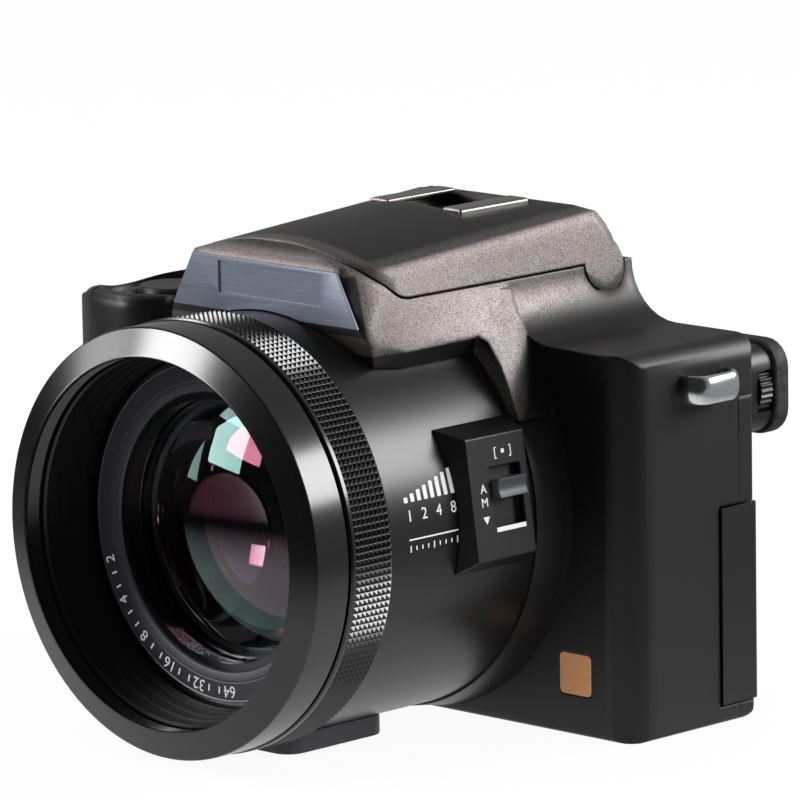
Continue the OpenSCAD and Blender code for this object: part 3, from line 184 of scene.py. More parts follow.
def tower_sheen_flakes(tree, place):
    """The mask of the tower's flakes, the same on both sides of the lens: on the hood ahead of the body, the
    roof's edges, the flanks beside the lens as far as a slanting line, and the cove down to the shoulders.
    These are the places where the lamps' sheen falls, so the mask is a painted sheen, and the nearly bare
    middle of the roof is painted shade."""
    middle = Vector((LENS_X, FRONT_Y, 0)) * MM
    centred = add(tree, "ShaderNodeVectorMath", {0: place, 1: middle}, operation="SUBTRACT").outputs[0]
    spot = add(tree, "ShaderNodeSeparateXYZ", {0: centred}).outputs
    across = add(tree, "ShaderNodeMath", {0: spot["X"]}, operation="ABSOLUTE").outputs[0]
    folded = add(tree, "ShaderNodeCombineXYZ", {"X": across, "Y": spot["Y"], "Z": spot["Z"]}).outputs[0]
    fading = {0: spot["Y"], 1: COVE_FADE, 2: COVE_TOP * MM}
    top = add(tree, "ShaderNodeMath", fading, operation="MULTIPLY_ADD").outputs[0]
    limits = {"Value": spot["Z"], "From Min": COVE_LOW * MM, "From Max": top, "To Max": BEHIND_SHEEN_SHARE}
    cove = add(tree, "ShaderNodeMapRange", limits)
    coated = zone(tree, folded, HOOD_SHEEN)
    for mask in (zone(tree, folded, ROOF_EDGE_SHEEN), zone(tree, folded, FLANK_SHEEN, BEHIND_SHEEN_SHARE),
                 zone(tree, folded, COVE_SHEEN, cove.outputs["Result"])):
        coated = add(tree, "ShaderNodeMath", {0: coated, 1: mask}, operation="MAXIMUM").outputs[0]
    roof_shade_mask = zone(tree, folded, ROOF_SHADE, ROOF_SHADE_SHARE)
    left = add(tree, "ShaderNodeMath", {0: 1.0, 1: roof_shade_mask}, operation="SUBTRACT").outputs[0]
    return add(tree, "ShaderNodeMath", {0: coated, 1: left}, operation="MULTIPLY").outputs[0]


# Finishes, with the ways that streaks run and the soft edges as pairs of height and radius
BRUSHED_ACROSS = (0.04, 1, 1)
DRAWN_BACK = (1, 0.06, 1)
TOWER_EDGES = ((0, 0.6), (46, 0.6), (52, 1.4), (57, 0.9), (66.8, 0.6), (68.5, 2.5), (72.8, 2.5), (74, 0.4),
               (76.5, 0.4), (78.5, 3.0))
DECK_EDGES = ((0, 2.0), (SOFT_TOP, 2.0))
GROUND_GLASS = {"rough": (0.0, 0.012), "grain": 4.0, "depth": 0.0001, "Transmission_Weight": 1.0}
# Sprayed lacquer with fine metal flake over black moulded plastic: near black, it lights up as warm taupe.
# The flakes are drawn coarser than real ones, so that they show. The flakes themselves are real, but they
# are laid only where the lamps' sheen falls on the tower, so where they show is a painted sheen, and where
# they are left out is painted shade.
flake_paint = finish("flake_lacquer_painted_sheen", "#050505", "#7a7170", (0.46, 0.46), 0.11, 0.0, speck=0.9,
                     coat=tower_sheen_flakes, soft=TOWER_EDGES)
# The same lacquer without flake on the control deck: satin black that rolls round the edges.
deck_paint = finish("satin_black_lacquer", "#060606", "#0a0a0a", (0.33, 0.4), 0.25, 0.003, soft=DECK_EDGES)
# Black moulded plastic with a spark-eroded grain: dull, and faintly mottled.
moulded_black = finish("moulded_black_plastic", "#060606", "#0b0b0b", (0.34, 0.45), 0.25, 0.006)
# Moulded rubber with a leather pebble: soft and matt.
grip_rubber = finish("pebbled_rubber", "#0d0d0d", "#1c1b1b", (0.55, 0.75), 1.3, 0.12, cells=True)
# Satin black paint on the fixed barrel: a broad soft highlight.
barrel_black = finish("satin_barrel_paint", "#090909", "#0f0f0f", (0.27, 0.33), 0.3, 0.0015)
# Semi-gloss black anodised aluminium: a sharp highlight.
ring_black = finish("gloss_black_anodised", "#060607", "#0a0a0b", (0.16, 0.21), 0.4, 0.0004,
                    Specular_IOR_Level=0.7)
# Brushed aluminium dyed slate blue: fine streaks along its length.
badge_metal = finish("brushed_slate_aluminium", "#5f6574", "#6e7483", (0.34, 0.46), 0.25, 0.002,
                     along=BRUSHED_ACROSS, Metallic=0.4)
# Brushed copper-coloured aluminium: warm, with fine streaks.
copper_trim = finish("brushed_copper", "#c98d5d", "#d79e6d", (0.32, 0.44), 0.25, 0.002, along=BRUSHED_ACROSS,
                     Metallic=0.15)
# Polished chrome plating: a bright, clean mirror.
chrome = finish("polished_chrome", "#d4d6d9", "#e6e7e9", (0.14, 0.2), 0.6, 0.0006, Metallic=1.0)
# Pressed stainless steel, drawn along the rails: long streaks in a grey mirror.
shoe_steel = finish("drawn_steel", "#77746f", "#8f8b86", (0.3, 0.42), 0.3, 0.002, along=DRAWN_BACK,
                    Metallic=1.0)
# Turned screws and pins of nickel-plated steel: a dull grey mirror.
fastener_steel = finish("nickel_screw_steel", "#7d7d7c", "#a3a3a1", (0.25, 0.4), 0.3, 0.002, Metallic=1.0)
# Keys moulded in grey plastic: dull, and slightly lighter than the shell.
button_grey = finish("moulded_grey_keys", "#2c2d30", "#3a3b40", (0.35, 0.5), 0.25, 0.006)
# Silver lacquer, the record's own finish for the release button: a soft metal sheen.
shutter_silver = finish("silver_lacquer", "#8f9296", "#c4c6c9", (0.25, 0.38), 0.2, 0.002, Metallic=0.8)
# Clear moulded flash diffuser: milky, with a rippled face.
flash_plastic = finish("clear_flash_plastic", "#d8dadd", "#eceef0", (0.1, 0.2), 0.8, 0.05,
                       Transmission_Weight=0.6)
# Tinted acrylic over the screen and the finder: black, with a clean reflection.
window_glass = finish("tinted_acrylic", "#050607", "#0a0b0d", (0.03, 0.07), 2.0, 0.0005, Coat_Weight=0.5)
# Ground and coated optical glass: clear, with a weak green reflection on the front element.
coated_glass = finish("coated_optical_glass", "#f2eef6", "#ffffff", IOR=1.52, Specular_IOR_Level=0.14,
                      Specular_Tint=colour("#9fd8d4"), **GROUND_GLASS)
# Denser glass with the rose and the violet reflection of the inner elements.
rose_glass = finish("rose_coated_glass", "#f6eef2", "#ffffff", IOR=1.68, Specular_Tint=colour("#ff8fae"),
                    **GROUND_GLASS)
violet_glass = finish("violet_coated_glass", "#f2eef6", "#ffffff", IOR=1.8, Specular_Tint=colour("#b77bff"),
                      **GROUND_GLASS)
# Fine-turned black ring round the front glass: satin, it greys where a lamp reaches into the mouth.
satin_ring = finish("satin_black_ring", "#242428", "#303036", (0.36, 0.44), 0.3, 0.001)
# Glass-fibre circuit board under a solder mask: semi-gloss green.
board_green = finish("solder_mask_green", "#143d22", "#1e5a30", (0.3, 0.45), 0.8, 0.02)
# Shrunk plastic sleeve of the battery: an even satin grey.
cell_grey = finish("battery_sleeve", "#3c3e42", "#4a4c50", (0.35, 0.5), 0.5, 0.004)
# Cover glass of the sensor: deep blue, with a sharp reflection.
sensor_blue = finish("sensor_cover_glass", "#0d1836", "#16254d", (0.05, 0.12), 0.4, 0.0005)
# Lamp lens moulded in red acrylic: glossy, and a little clear.
lamp_red = finish("red_lamp_lens", "#5a0d0a", "#8a1812", (0.08, 0.16), 0.6, 0.01, Transmission_Weight=0.3)
# Pad-printed white ink: matt, a little uneven.
white_ink = finish("pad_printed_ink", "#c9c9c9", "#dedede", (0.5, 0.65), 0.3, 0.002)

slot_finish = {
    "moulded_black": moulded_black, "flake_paint": flake_paint, "grip_rubber": grip_rubber,
    "barrel_black": barrel_black, "ring_black": ring_black, "badge_metal": badge_metal,
    "copper_trim": copper_trim, "chrome": chrome, "shoe_steel": shoe_steel, "coated_glass": coated_glass,
    "window_glass": window_glass, "flash_plastic": flash_plastic, "board_green": board_green,
    "cell_grey": cell_grey, "sensor_blue": sensor_blue, "fastener_steel": fastener_steel,
    "button_grey": button_grey, "shutter_silver": shutter_silver, "lamp_red": lamp_red,
}


def paint(piece, material):
    """Gives the whole piece one finish."""
    piece.data.materials.clear()
    piece.data.materials.append(material)


for name, node in nodes.items():
    paint(node, slot_finish[node_slot[name]])

# Edges sharper than SHARP_FROM are rounded, and faces that meet at less than SMOOTH_WITHIN shade as one
SMOOTH_WITHIN = math.radians(32)
SHARP_FROM = math.radians(40)
FLAT_WITHIN = math.radians(0.6)
COPY_MERGE = 0.002
SPIN_MERGE = 0.001
POINT_NEAR = 0.2
EDGE_SEGMENTS = 3
ROLL_SEGMENTS = 5


def choose(piece):
    """Makes the piece the only one that is selected."""
    bpy.ops.object.select_all(action="DESELECT")
    piece.select_set(True)
    bpy.context.view_layer.objects.active = piece


def pick(piece, where):
    """Goes into edit mode with only the points selected, in mm, that pass the test."""
    choose(piece)
    bpy.ops.object.mode_set(mode="EDIT")
    bpy.ops.mesh.select_mode(type="VERT")
    bpy.ops.mesh.select_all(action="DESELECT")
    bpy.ops.object.mode_set(mode="OBJECT")
    for point in piece.data.vertices:
        point.select = where(point.co / MM)
    bpy.ops.object.mode_set(mode="EDIT")


def corners(node):
    """The lowest and highest corner of a CAD node in mm."""
    return [Vector(corner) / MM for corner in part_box(node)]


def seat(piece, name, body, slot, *stands_for, material=None, level=True):
    """Puts a finished piece on its body: place into the mesh, smooth shading, finish, and what it stands for.
    Level keeps its large faces flat."""
    piece.name = name
    choose(piece)
    bpy.ops.object.transform_apply(location=True, rotation=True, scale=True)
    bpy.ops.object.shade_smooth_by_angle(angle=SMOOTH_WITHIN)
    if level:
        flats = piece.modifiers.new("flats", "WEIGHTED_NORMAL")
        flats.keep_sharp = True
        bpy.ops.object.modifier_apply(modifier=flats.name)
    paint(piece, material or slot_finish[slot])
    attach(piece, body)
    if stands_for:
        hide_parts(*stands_for)
    return piece


def softened(node, width, segments=EDGE_SEGMENTS, material=None, moves=(), roll=None, reshape=None):
    """A copy of a CAD node with its sharp edges rounded by a bevel of that width in mm. It stands for the
    node. Moves lists points in mm and how far each is pulled first. Reshape is called with the piece after
    that. Roll is a wider rounding, made before the edges are: a test of points and a width."""
    piece = nodes[node].copy()
    piece.data = nodes[node].data.copy()
    for key in list(piece.keys()):
        del piece[key]
    piece.parent = None
    bpy.context.scene.collection.objects.link(piece)
    choose(piece)
    bpy.ops.object.mode_set(mode="EDIT")
    bpy.ops.mesh.select_all(action="SELECT")
    bpy.ops.mesh.remove_doubles(threshold=COPY_MERGE * MM)
    bpy.ops.mesh.dissolve_limited(angle_limit=FLAT_WITHIN)
    bpy.ops.object.mode_set(mode="OBJECT")
    for at, shift in moves:
        pick(piece, lambda spot: (spot - Vector(at)).length < POINT_NEAR)
        bpy.ops.transform.translate(value=Vector(shift) * MM)
        bpy.ops.object.mode_set(mode="OBJECT")
    if reshape:
        reshape(piece)
    if roll:
        where, wide = roll
        pick(piece, where)
        bpy.ops.mesh.bevel(offset=wide * MM, segments=ROLL_SEGMENTS, affect="EDGES", clamp_overlap=False)
        bpy.ops.object.mode_set(mode="OBJECT")
    choose(piece)
    edge = piece.modifiers.new("edge", "BEVEL")
    edge.width = width * MM
    edge.segments = segments
    edge.angle_limit = SHARP_FROM
    edge.use_clamp_overlap = True
    bpy.ops.object.modifier_apply(modifier=edge.name)
    return seat(piece, node + "_rounded", body_of_node[node], node_slot[node], node, material=material)


def lens_place(radius, ahead):
    """A point straight to the side of the lens axis, that far ahead of the body's front wall."""
    return Vector((LENS_X + radius, FRONT_Y - ahead, LENS_Z)) * MM


def turned(outline):
    """A closed outline of (radius, distance ahead of the body) points, drawn point by point and spun round
    the lens axis."""
    places = [lens_place(radius, ahead) for radius, ahead in outline]
    bpy.ops.object.select_all(action="DESELECT")
    bpy.ops.mesh.primitive_plane_add(size=MM, location=places[0])
    bpy.ops.object.mode_set(mode="EDIT")
    bpy.ops.mesh.merge(type="CENTER")
    for before, after in zip(places, places[1:] + places[:1]):
        bpy.ops.mesh.extrude_region_move(TRANSFORM_OT_translate={"value": after - before})
    bpy.ops.mesh.select_all(action="SELECT")
    bpy.ops.mesh.remove_doubles(threshold=SPIN_MERGE * MM)
    bpy.ops.mesh.spin(steps=ROUND_STEPS, angle=FULL_TURN, center=LENS_AXIS, axis=(0, 1, 0))
    bpy.ops.mesh.select_all(action="SELECT")
    bpy.ops.mesh.remove_doubles(threshold=SPIN_MERGE * MM)
    bpy.ops.mesh.normals_make_consistent(inside=False)
    bpy.ops.object.mode_set(mode="OBJECT")
    return bpy.context.object


# Shell
# The flank's front edge swings out in a round line from the hood's lip to the lens. Each point of the right
# flank is measured from the lens axis, the front wall and the base, and is then pulled out and up.
FLANK_POINTS = (
    (23.52, -9.11, 69.1, 0.55, -1.7), (25.16, -8.96, 66.5, 1.3, -0.1), (27.55, -8.81, 62.69, 1.5, 0.1),
    (29.88, -8.73, 58.95, 1.0, 0), (35.35, 0, 54, -2.4, 0), (27.97, 0, 65.98, -1.2, 0.62),
    (28.05, 0.2, 65.93, -1.28, 0.67))
flank_moves = []
for side in (1, -1):
    for x, y, z, out, rise in FLANK_POINTS:
        flank_moves.append(((LENS_X + side * x, FRONT_Y + y, z), (side * out, 0, rise)))
softened("front_case", 0.6, moves=flank_moves)
softened("rear_case", 0.5)

# The deck's front end rolls over ahead of the release, clear of the release's dish and of the deck's end
RELEASE = Vector((-43.15, 7.375))
DISH_CLEAR = 13.5
DECK_ROLL = 1.9
DECK_ROLL_ABOVE = 62
DECK_ROLL_FROM = -56


def deck_front(spot):
    """Tells whether a point is on the deck's front end."""
    ahead = spot.y < 0 and spot.x > DECK_ROLL_FROM and spot.z > DECK_ROLL_ABOVE
    return ahead and (spot.xy - RELEASE).length > DISH_CLEAR


softened("top_cover", 0.5, material=deck_paint, roll=(deck_front, DECK_ROLL))

LID_RISE = 1.5
LID_RISE_REACH = 11.0
LID_RISE_ABOVE = 77.6
LID_CORNER = (20.3, 23.9, 82.1)
LID_CORNER_NEAR = 1.3


def square_shoulders(piece):
    """Pulls up the rear corners of the lid's roof, and the roof round them with a soft falloff."""
    pick(piece, lambda spot: spot.z < LID_RISE_ABOVE)
    bpy.ops.mesh.hide()
    bpy.ops.object.mode_set(mode="OBJECT")
    across, behind, height = LID_CORNER
    for side in (1, -1):
        corner = Vector((LENS_X + side * across, FRONT_Y + behind, height))
        pick(piece, lambda spot: (spot - corner).length < LID_CORNER_NEAR)
        bpy.ops.transform.translate(value=(0, 0, LID_RISE * MM), use_proportional_edit=True,
                                    proportional_edit_falloff="SMOOTH", proportional_size=LID_RISE_REACH * MM)
        bpy.ops.object.mode_set(mode="OBJECT")
    choose(piece)
    bpy.ops.object.mode_set(mode="EDIT")
    bpy.ops.mesh.reveal()
    bpy.ops.object.mode_set(mode="OBJECT")


softened("flash_lid", 0.5, reshape=square_shoulders)

# Front ring: a thin bright rim, a wide bevel and a plain cylinder, with a filter thread in its mouth
THREAD_PITCH = 0.5
THREAD_TURNS = 6
THREAD_START = 59.9
THREAD_DEPTH = 0.25
MOUTH_R = 30.9
FRONT_RING = [(MOUTH_R, 51.75), (35.6, 51.75), (35.85, 52.0), (35.85, 58.6), (35.75, 58.9), (35.5, 59.1),
              (31.5, 60.35), (31.25, 60.5), (MOUTH_R, 60.5)]
thread = []
for turn_at in range(THREAD_TURNS):
    thread.append((MOUTH_R, THREAD_START - turn_at * THREAD_PITCH))
    thread.append((MOUTH_R + THREAD_DEPTH, THREAD_START - (turn_at + 0.5) * THREAD_PITCH))
seat(turned(FRONT_RING + thread), "front_ring_turned", "body", "ring_black", "front_ring")

# Front glass, two inner elements and their black cell
ELEMENT_STEPS = 24
ELEMENT_CELL = [(20.1, 35.6), (20.1, 38.3), (20.8, 38.8), (26.9, 38.8), (26.9, 35.6)]


def bulge(curve, edge_r, radius):
    """How far a ground face with that radius of curvature stands out past its edge."""
    return math.sqrt(curve ** 2 - radius ** 2) - math.sqrt(curve ** 2 - edge_r ** 2)


def ground(name, edge_r, front, front_curve, rear, rear_curve, material, *stands_for):
    """A lens element: radius of its edge, then place of the edge and radius of curvature, in front and at
    the rear. A negative rear curve hollows the rear."""
    steps = [edge_r * step / ELEMENT_STEPS for step in range(ELEMENT_STEPS + 1)]
    front_face = [(radius, front + bulge(front_curve, edge_r, radius)) for radius in steps]
    hollow = math.copysign(1, rear_curve)
    rear_face = [(radius, rear - hollow * bulge(rear_curve, edge_r, radius)) for radius in reversed(steps)]
    piece = turned(front_face + rear_face)
    seat(piece, name, "zoom_front", "coated_glass", *stands_for, material=material, level=False)


ground("front_glass_ground", 22.0, 42.8, 52.0, 40.8, -64.0, coated_glass, "front_glass")
ground("second_element", 20.0, 38.2, 45.0, 36.6, 34.0, rose_glass)
ground("third_element", 13.0, 24.0, 60.0, 20.5, 22.0, violet_glass)
seat(turned(ELEMENT_CELL), "element_cell", "zoom_front", "moulded_black")

# Stepped black baffle inside the mouth, and the ring that holds the front glass
MOUTH_BAFFLE = [(30.85, 56.6), (30.85, 46.7), (29.4, 46.7), (29.4, 48.8), (29.7, 48.8), (29.7, 51.0),
                (30.0, 51.0), (30.0, 53.4), (30.3, 53.4), (30.3, 56.2), (30.6, 56.6)]
NAME_RING = [(23.2, 45.8), (23.45, 46.1), (24.7, 46.4), (25.0, 46.3), (25.3, 46.4), (27.7, 46.4),
             (28.0, 46.3), (28.25, 46.4), (28.4, 46.2), (28.4, 45.8)]
seat(turned(MOUTH_BAFFLE), "mouth_baffle", "body", "moulded_black")
seat(turned(NAME_RING), "name_ring_turned", "zoom_front", "ring_black", "name_ring", material=satin_ring)

# Focus ring: a plain front lip and a band of small pyramids, eight across
KNURL_ACROSS = 8
KNURL_ROUND = 200
KNURL_FRONT = 50.05
KNURL_BACK = 41.85
KNURL_BASE_R = 35.72
KNURL_TIP_R = 36.2
KNURL_MERGE = 0.01
FOCUS_CORE = [(34.45, 51.4), (35.9, 51.4), (36.15, 51.1), (36.15, 50.4), (35.9, 50.1),
              (KNURL_BASE_R, KNURL_FRONT), (KNURL_BASE_R, KNURL_BACK), (34.45, 41.8)]
knurl_pitch = (KNURL_FRONT - KNURL_BACK) / KNURL_ACROSS
knurl_step = FULL_TURN * KNURL_BASE_R / KNURL_ROUND
knurl_rise = KNURL_TIP_R - KNURL_BASE_R
knurl_place = lens_place((KNURL_BASE_R + KNURL_TIP_R) / 2, KNURL_FRONT - knurl_pitch / 2)
# A four-sided cone on one square millimetre is turned square to the ring and drawn to the knurl's size
SQUARE_CORNER = math.sqrt(0.5)
bpy.ops.object.select_all(action="DESELECT")
bpy.ops.mesh.primitive_cone_add(vertices=4, radius1=SQUARE_CORNER * MM, depth=knurl_rise * MM,
                                end_fill_type="NOTHING", location=knurl_place, rotation=(0, QUARTER_TURN, 0))
knurl = bpy.context.object
bpy.ops.object.mode_set(mode="EDIT")
bpy.ops.transform.rotate(value=QUARTER_TURN / 2, orient_axis="X", center_override=knurl_place)
bpy.ops.transform.resize(value=(1, knurl_pitch, knurl_step), center_override=knurl_place)
bpy.ops.object.mode_set(mode="OBJECT")
bpy.ops.object.transform_apply(location=True, rotation=True, scale=True)
row = knurl.modifiers.new("row", "ARRAY")
row.count = KNURL_ACROSS
row.use_relative_offset = False
row.use_constant_offset = True
row.constant_offset_displace = (0, knurl_pitch * MM, 0)
bpy.ops.object.modifier_apply(modifier=row.name)
bpy.ops.object.mode_set(mode="EDIT")
bpy.ops.mesh.select_all(action="SELECT")
bpy.ops.mesh.spin(steps=KNURL_ROUND, dupli=True, angle=FULL_TURN, center=LENS_AXIS, axis=(0, 1, 0))
bpy.ops.mesh.select_all(action="SELECT")
bpy.ops.mesh.remove_doubles(threshold=KNURL_MERGE * MM)
bpy.ops.object.mode_set(mode="OBJECT")
focus_core = turned(FOCUS_CORE)
choose(focus_core)
knurl.select_set(True)
bpy.ops.object.join()
seat(focus_core, "focus_ring_knurled", "focus_ring", node_slot["focus_ring"], "focus_ring")

# Strap lugs: a pressed chrome loop on each side, its ends sunk in the wall
LUG_BAR = 1.9
LUG_BEND = 2.65
LUG_SUNK = 1.0
LUG_STEPS = 48
LUG_FACETS = 20
LUG_MIDDLE = 0.01


def strap_lug(node, outward):
    """A ring drawn out along the body, pressed tall, and cut off inside the wall."""
    low, high = corners(node)
    reach = high.x if outward > 0 else low.x
    wall = low.x if outward > 0 else high.x
    middle = Vector((reach - outward * (LUG_BEND + LUG_BAR / 2), (low.y + high.y) / 2, (low.z + high.z) / 2))
    bpy.ops.object.select_all(action="DESELECT")
    bpy.ops.mesh.primitive_torus_add(major_segments=LUG_STEPS, minor_segments=LUG_FACETS,
                                     major_radius=LUG_BEND * MM, minor_radius=LUG_BAR / 2 * MM,
                                     location=middle * MM)
    loop = bpy.context.object
    bpy.ops.object.transform_apply(location=True, rotation=True, scale=True)
    draw_out = (high.y - low.y) / 2 - LUG_BEND - LUG_BAR / 2
    for way in (1, -1):
        pick(loop, lambda spot: (spot.y - middle.y) * way > LUG_MIDDLE)
        bpy.ops.transform.translate(value=(0, way * draw_out * MM, 0))
        bpy.ops.object.mode_set(mode="OBJECT")
    pick(loop, lambda spot: True)
    bpy.ops.transform.resize(value=(1, 1, (high.z - low.z) / LUG_BAR), center_override=middle * MM)
    bpy.ops.mesh.bisect(plane_co=Vector((wall - outward * LUG_SUNK, 0, 0)) * MM, plane_no=(-outward, 0, 0),
                        use_fill=True, clear_outer=True)
    bpy.ops.object.mode_set(mode="OBJECT")
    seat(loop, node + "_loop", "body", "chrome", node, level=False)


strap_lug("strap_lug_right", 1)
strap_lug("strap_lug_left", -1)

# Round ends of the lid's hinge knuckles, just under flush with the leaning sides of the tower
HINGE_Y = FRONT_Y + 24.0
SEAM_Z = 75.0
KNUCKLE_R = 4.7
KNUCKLE_ROUND = 96
KNUCKLE_BLANK = 6
KNUCKLE_CAP = 0.8
TOWER_HALF = 22.2
TOWER_LEAN = math.radians(14)
CAP_SUNK = 0.03
for outward, name in ((1, "lid_knuckle_right"), (-1, "lid_knuckle_left")):
    side = Vector((LENS_X + outward * (TOWER_HALF - CAP_SUNK), HINGE_Y, SEAM_Z))
    lean = Vector((outward * math.cos(TOWER_LEAN), 0, math.sin(TOWER_LEAN)))
    bpy.ops.object.select_all(action="DESELECT")
    bpy.ops.mesh.primitive_cylinder_add(vertices=KNUCKLE_ROUND, radius=KNUCKLE_R * MM,
                                        depth=KNUCKLE_BLANK * MM, location=side * MM,
                                        rotation=(0, QUARTER_TURN, 0))
    knuckle = bpy.context.object
    bpy.ops.object.transform_apply(location=True, rotation=True, scale=True)
    pick(knuckle, lambda spot: True)
    bpy.ops.mesh.bisect(plane_co=side * MM, plane_no=lean, use_fill=True, clear_outer=True)
    bpy.ops.mesh.select_all(action="SELECT")
    bpy.ops.mesh.bisect(plane_co=(side - lean * KNUCKLE_CAP) * MM, plane_no=-lean, use_fill=True,
                        clear_outer=True)
    bpy.ops.object.mode_set(mode="OBJECT")
    seat(knuckle, name, "flash_lid", "flake_paint")

# Front plate of the lid with a bare sunk panel
PANEL_W = 23.6
PANEL_H = 5.4
PANEL_DEEP = 0.35
PANEL_CORNER = 0.1
PANEL_CORNER_STEPS = 2
PANEL_X = LENS_X + 1.2
PANEL_Z = 77.0
badge = softened("badge_plate", 0.15)
plate_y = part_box("badge_plate")[0][1]
bpy.ops.object.select_all(action="DESELECT")
bpy.ops.mesh.primitive_cube_add(size=1, location=(PANEL_X * MM, plate_y, PANEL_Z * MM))
cutter = bpy.context.object
bpy.ops.object.mode_set(mode="EDIT")
bpy.ops.transform.resize(value=(PANEL_W * MM, 2 * PANEL_DEEP * MM, PANEL_H * MM),
                         center_override=cutter.location)
bpy.ops.mesh.bevel(offset=PANEL_CORNER * MM, segments=PANEL_CORNER_STEPS)
bpy.ops.object.mode_set(mode="OBJECT")
choose(badge)
sunk = badge.modifiers.new("sunk", "BOOLEAN")
sunk.object = cutter
bpy.ops.object.modifier_apply(modifier=sunk.name)
choose(cutter)
bpy.ops.object.delete()

# Smaller moulded and pressed pieces: the width of their rounded edges, and a finish other than the record's
for node, width, material in (
        ("copper_plate", 0.12, None), ("focus_panel", 0.3, None), ("focus_switch", 0.25, None),
        ("lens_foot", 0.4, button_grey), ("finder_housing", 0.4, None), ("eyecup", 0.6, None),
        ("dioptre_wheel", 0.15, moulded_black), ("terminal_door", 0.35, None), ("battery_door", 0.3, None),
        ("mode_dial", 0.2, None), ("zoom_lever", 0.4, deck_paint), ("shutter_button", 0.3, deck_paint),
        ("power_switch", 0.4, None), ("screen_window", 0.3, None), ("grip_skin", 0.3, None)):
    softened(node, width, material=material)

# Hot shoe, its rolled lips standing a little above the roof
LIP_FROM = 83.6
LIP_RISE = 0.6
LIP_SEGMENTS = 4
shoe = softened("hot_shoe", 0.35, segments=LIP_SEGMENTS)
pick(shoe, lambda spot: spot.z > LIP_FROM)
bpy.ops.transform.translate(value=(0, 0, LIP_RISE * MM))
bpy.ops.object.mode_set(mode="OBJECT")

# Printed marks, each a thin film of white ink. GLYPH_SIZE is the font's size over the height of its capitals.
MARK_FILM = 0.06
GLYPH_SIZE = 1.42
BAR_CORNER_SHARE = 1 / 5
BAR_CORNER_STEPS = 3
POINTER_CORNER_SHARE = 1 / 20
POINTER_CORNER_STEPS = 2


def laid(mark, at, across, upward):
    """Lays a flat mark on a surface: its middle, the way it reads and its upward way."""
    across = Vector(across).normalized()
    upward = Vector(upward).normalized()
    turn = Matrix((across, upward, across.cross(upward))).transposed()
    choose(mark)
    mark.matrix_world = Matrix.Translation(Vector(at) * MM) @ turn.to_4x4()
    bpy.ops.object.transform_apply(location=True, rotation=True, scale=True)
    return mark


def glyph(sign, height):
    """A printed numeral or letter whose capitals are that many mm high."""
    bpy.ops.object.select_all(action="DESELECT")
    bpy.ops.object.text_add()
    mark = bpy.context.object
    mark.data.body = sign
    mark.data.size = height * GLYPH_SIZE * MM
    mark.data.align_x = "CENTER"
    mark.data.align_y = "CENTER"
    mark.data.extrude = MARK_FILM * MM
    bpy.ops.object.convert(target="MESH")
    return bpy.context.object


def film():
    """Gives the flat shape in edit mode its thickness."""
    bpy.ops.mesh.select_all(action="SELECT")
    bpy.ops.mesh.extrude_region_move(TRANSFORM_OT_translate={"value": (0, 0, MARK_FILM * MM)})
    bpy.ops.mesh.select_all(action="SELECT")
    bpy.ops.mesh.normals_make_consistent(inside=False)
    bpy.ops.object.mode_set(mode="OBJECT")
    return bpy.context.object


def bar(width, height):
    """A printed bar with rounded corners."""
    corner = min(width, height) * BAR_CORNER_SHARE
    bpy.ops.object.select_all(action="DESELECT")
    bpy.ops.mesh.primitive_plane_add(size=1)
    bpy.ops.object.mode_set(mode="EDIT")
    bpy.ops.transform.resize(value=(width * MM, height * MM, 1))
    bpy.ops.mesh.bevel(offset=corner * MM, segments=BAR_CORNER_STEPS, affect="VERTICES")
    return film()


def pointer(size):
    """A printed triangle that points down."""
    corner = size * POINTER_CORNER_SHARE
    bpy.ops.object.select_all(action="DESELECT")
    bpy.ops.mesh.primitive_circle_add(vertices=3, radius=size / 2 * MM, fill_type="NGON",
                                      rotation=(0, 0, math.pi))
    bpy.ops.object.transform_apply(location=True, rotation=True, scale=True)
    bpy.ops.object.mode_set(mode="EDIT")
    bpy.ops.mesh.bevel(offset=corner * MM, segments=POINTER_CORNER_STEPS, affect="VERTICES")
    return film()


def printed(name, body, marks):
    """Joins marks into one print that rides on a body."""
    choose(marks[0])
    for mark in marks[1:]:
        mark.select_set(True)
    bpy.ops.object.join()
    seat(marks[0], name, body, "shutter_silver", material=white_ink)


# Growing bars, plain numbers and ticks on the side of the barrel, in rows that are turned up from the side.
# Starts and pitches run back along the barrel, and PRINT_START is measured from the body's front wall.
BARREL_R = 35.2
PRINT_START = -37.0
BARS = 8
BAR_ROW = math.radians(12.9)
BAR_W = 0.85
BAR_LOW = 0.9
BAR_GROWTH = 0.47
BAR_PITCH = 1.55
BARREL_NUMBERS = "1248"
NUMBER_ROW = math.radians(9.2)
NUMBER_H = 1.9
NUMBER_START = 0.4
NUMBER_PITCH = 3.4
LINE_ROW = math.radians(3.0)
LINE_LENGTH = 11.4
LINE_MIDDLE = 5.5
LINE_W = 0.24
TICKS = 9
TICK_ROW = math.radians(0.6)
TICK_START = 0.1
TICK_PITCH = 1.36
TICK_LONG = 1.1
TICK_SHORT = 0.7
TICKS_PER_LONG = 4


def on_barrel(mark, along, turn):
    """Lays a mark on the barrel, so far from the start of the print and turned up from the side."""
    out = Vector((math.cos(turn), 0, math.sin(turn)))
    at = Vector((LENS_X, FRONT_Y + PRINT_START + along, LENS_Z)) + out * BARREL_R
    return laid(mark, at, (0, 1, 0), (-out.z, 0, out.x))


